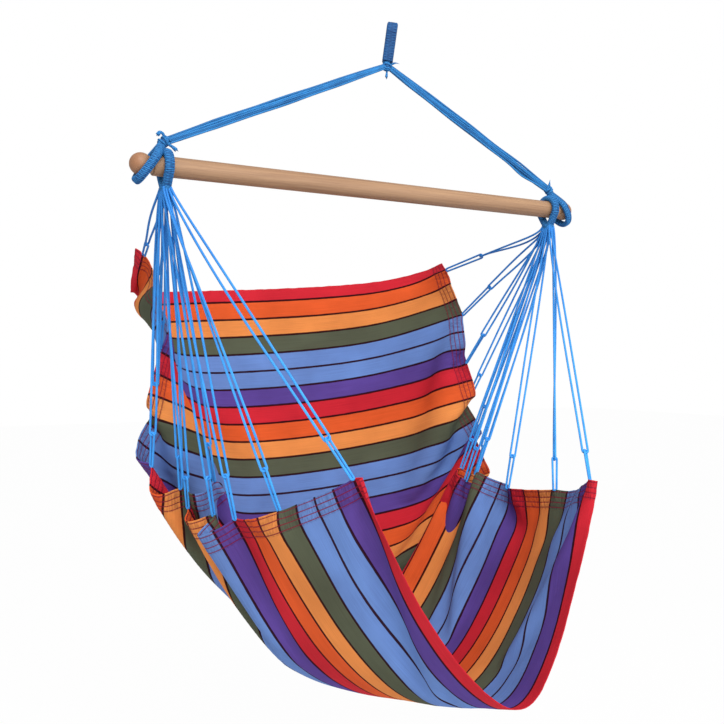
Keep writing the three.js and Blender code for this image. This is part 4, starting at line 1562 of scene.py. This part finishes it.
    def build_harness_eye(self, side: Side) -> None:
        """The loop over the bar, with the wraps of its neck.

        Args:
            side: The end.
        """
        band = HitchedBand(
            bow_width=0.020,
            bow_depth=0.020,
            thickness=0.0125,
            foot_width=0.0255,
            foot_height=0.042,
            band=0.0175,
            rib=1.1 * MM,
            knot=1.2 * MM,
            slant=0.2,
            knot_place=0.1,
        )
        surface = moved(band.surface(), np.zeros(3), rotation("x", 180))
        angle = np.linspace(0, 2 * math.pi, 48, endpoint=False)
        for level, size in ((-0.0375, 1.0), (-0.0405, 1.03), (-0.0435, 0.98)):
            across, depth = 0.0088 * size * np.cos(angle), 0.0128 * size * np.sin(angle)
            ring = np.stack([across, depth, level + 0.0016 * np.cos(angle + 2.2)], axis=1)
            add_tube(surface, ring, 1.9 * MM, Z, 10, closed=True, shade=0.95)
        moved(surface, X * side.value * HARNESS_REACH)
        self.place(surface, f"{side.label}_hitched_harness", "seat", "braid", f"{side.label}_harness_eye")

    def build_seat_cords(self, side: Side) -> None:
        """The cords and hem loops of one side.

        Args:
            side: The side.
        """
        for number in range(1, len(HEM_CORDS[side]) + 1):
            cord = SeatCord(side, number)
            tag = f"{side.label}_{cord.label}"
            node = f"{side.label}_string_{cord.label}"
            self.place(cord.string(), f"seat_cord_{tag}", "seat", "cord", node)
            node = f"{side.label}_hem_loop_{cord.label}"
            self.place(cord.hem_loop(), f"cloth_loop_{tag}", "seat", "cord", node)

    def build_cloth(self) -> None:
        """The cloth, which hangs from its loops."""
        cloth = Cloth()
        made = self.place(cloth.surface(), "striped_cloth", "seat", "cloth", "hammock_cloth")

    def build(self) -> None:
        """Every piece."""
        self.build_bar()
        self.build_eye()
        for side in Side:
            self.build_end(side)
            self.build_seat_cords(side)
        self.build_cloth()


@dataclass
class Studio:
    """Camera, lamps, floor and backdrop."""

    bar_centre: Array
    lens: float = 44.75
    sensor: float = 36.0
    eye: tuple[float, float, float] = (-0.9768, -1.5963, -0.356)
    yaw: float = 30.3
    floor_height: float = -1.75

    def build(self) -> None:
        """Sets up everything round the chair."""
        scene = bpy.context.scene
        scene.view_settings.view_transform = "Standard"
        camera = bpy.data.cameras.new("camera")
        camera.lens, camera.sensor_width = self.lens, self.sensor
        camera.clip_start, camera.clip_end = 0.05, 50
        holder = bpy.data.objects.new("camera", camera)
        holder.location = Vector(self.bar_centre + np.array(self.eye))
        holder.rotation_euler = (math.radians(90), 0, -math.radians(self.yaw))
        scene.collection.objects.link(holder)
        scene.camera = holder
        self.build_world()
        self.build_floor()
        self.add_lamp("key", (-1.2, -2.8, 2.3), 2.2, 138.0)
        self.add_lamp("fill", (1.2, -3.2, 0.3), 2.4, 40.0)

    def add_lamp(self, name: str, place: tuple[float, float, float], size: float, power: float) -> None:
        """A square lamp that looks at the seat.

        Args:
            name: Its name.
            place: Its place from the bar's middle.
            size: The length of its side.
            power: Its power in watts.
        """
        lamp = bpy.data.lights.new(name, "AREA")
        lamp.shape, lamp.size, lamp.energy = "SQUARE", size, power
        holder = bpy.data.objects.new(name, lamp)
        target = Vector(self.bar_centre) + Vector((0, 0, -0.4))
        holder.location = Vector(self.bar_centre) + Vector(place)
        holder.rotation_euler = (target - holder.location).to_track_quat("-Z", "Y").to_euler()
        bpy.context.scene.collection.objects.link(holder)

    def build_world(self) -> None:
        """A world that is white to the camera and softer to the chair."""
        world = bpy.data.worlds.new("studio")
        world.use_nodes = True
        bpy.context.scene.world = world
        tree = world.node_tree
        tree.nodes.clear()
        rays = tree.nodes.new("ShaderNodeLightPath")
        light, shown = (tree.nodes.new("ShaderNodeBackground") for _ in range(2))
        light.inputs["Color"].default_value, light.inputs["Strength"].default_value = (1, 1, 1, 1), 0.62
        shown.inputs["Color"].default_value, shown.inputs["Strength"].default_value = (1, 1, 1, 1), 1.0
        mix = tree.nodes.new("ShaderNodeMixShader")
        output = tree.nodes.new("ShaderNodeOutputWorld")
        tree.links.new(rays.outputs["Is Camera Ray"], mix.inputs[0])
        tree.links.new(light.outputs[0], mix.inputs[1])
        tree.links.new(shown.outputs[0], mix.inputs[2])
        tree.links.new(mix.outputs[0], output.inputs["Surface"])

    def build_floor(self) -> None:
        """A pale floor that keeps the chair's shadow and is nearly white to the camera."""
        graph = Graph("pale_floor")
        pale = graph.add("ShaderNodeBsdfDiffuse", {}, {"Color": linear(236, 236, 236)})
        white = graph.add("ShaderNodeEmission", {}, {"Color": (1, 1, 1, 1), "Strength": 1.0})
        rays = graph.add("ShaderNodeLightPath", output="Is Camera Ray")
        shader = graph.add("ShaderNodeMixShader", {}, {0: rays * 0.97, 1: pale, 2: white})
        graph.add_output(shader)
        mesh = bpy.data.meshes.new("floor")
        reach = 14.0
        corners = [(-reach, -reach), (reach, -reach), (reach, reach), (-reach, reach)]
        mesh.from_pydata([(x, y, self.floor_height) for x, y in corners], [], [(0, 1, 2, 3)])
        mesh.materials.append(graph.material)
        floor = bpy.data.objects.new("floor", mesh)
        bpy.context.scene.collection.objects.link(floor)


def corners(box: tuple[Vector, Vector]) -> list[list[float]]:
    """A box's corners as plain lists."""
    return [[float(value) for value in corner] for corner in box]


def main() -> None:
    """Loads the frame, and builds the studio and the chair."""
    logging.basicConfig(level=logging.INFO, format="%(name)s %(message)s")
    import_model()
    low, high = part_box("spreader_bar")
    bar_centre = np.array((low + high) / 2)
    Studio(bar_centre).build()
    Chair(bar_centre, Finishes.made(bar_centre)).build()


if __name__ == "__main__":
    main()
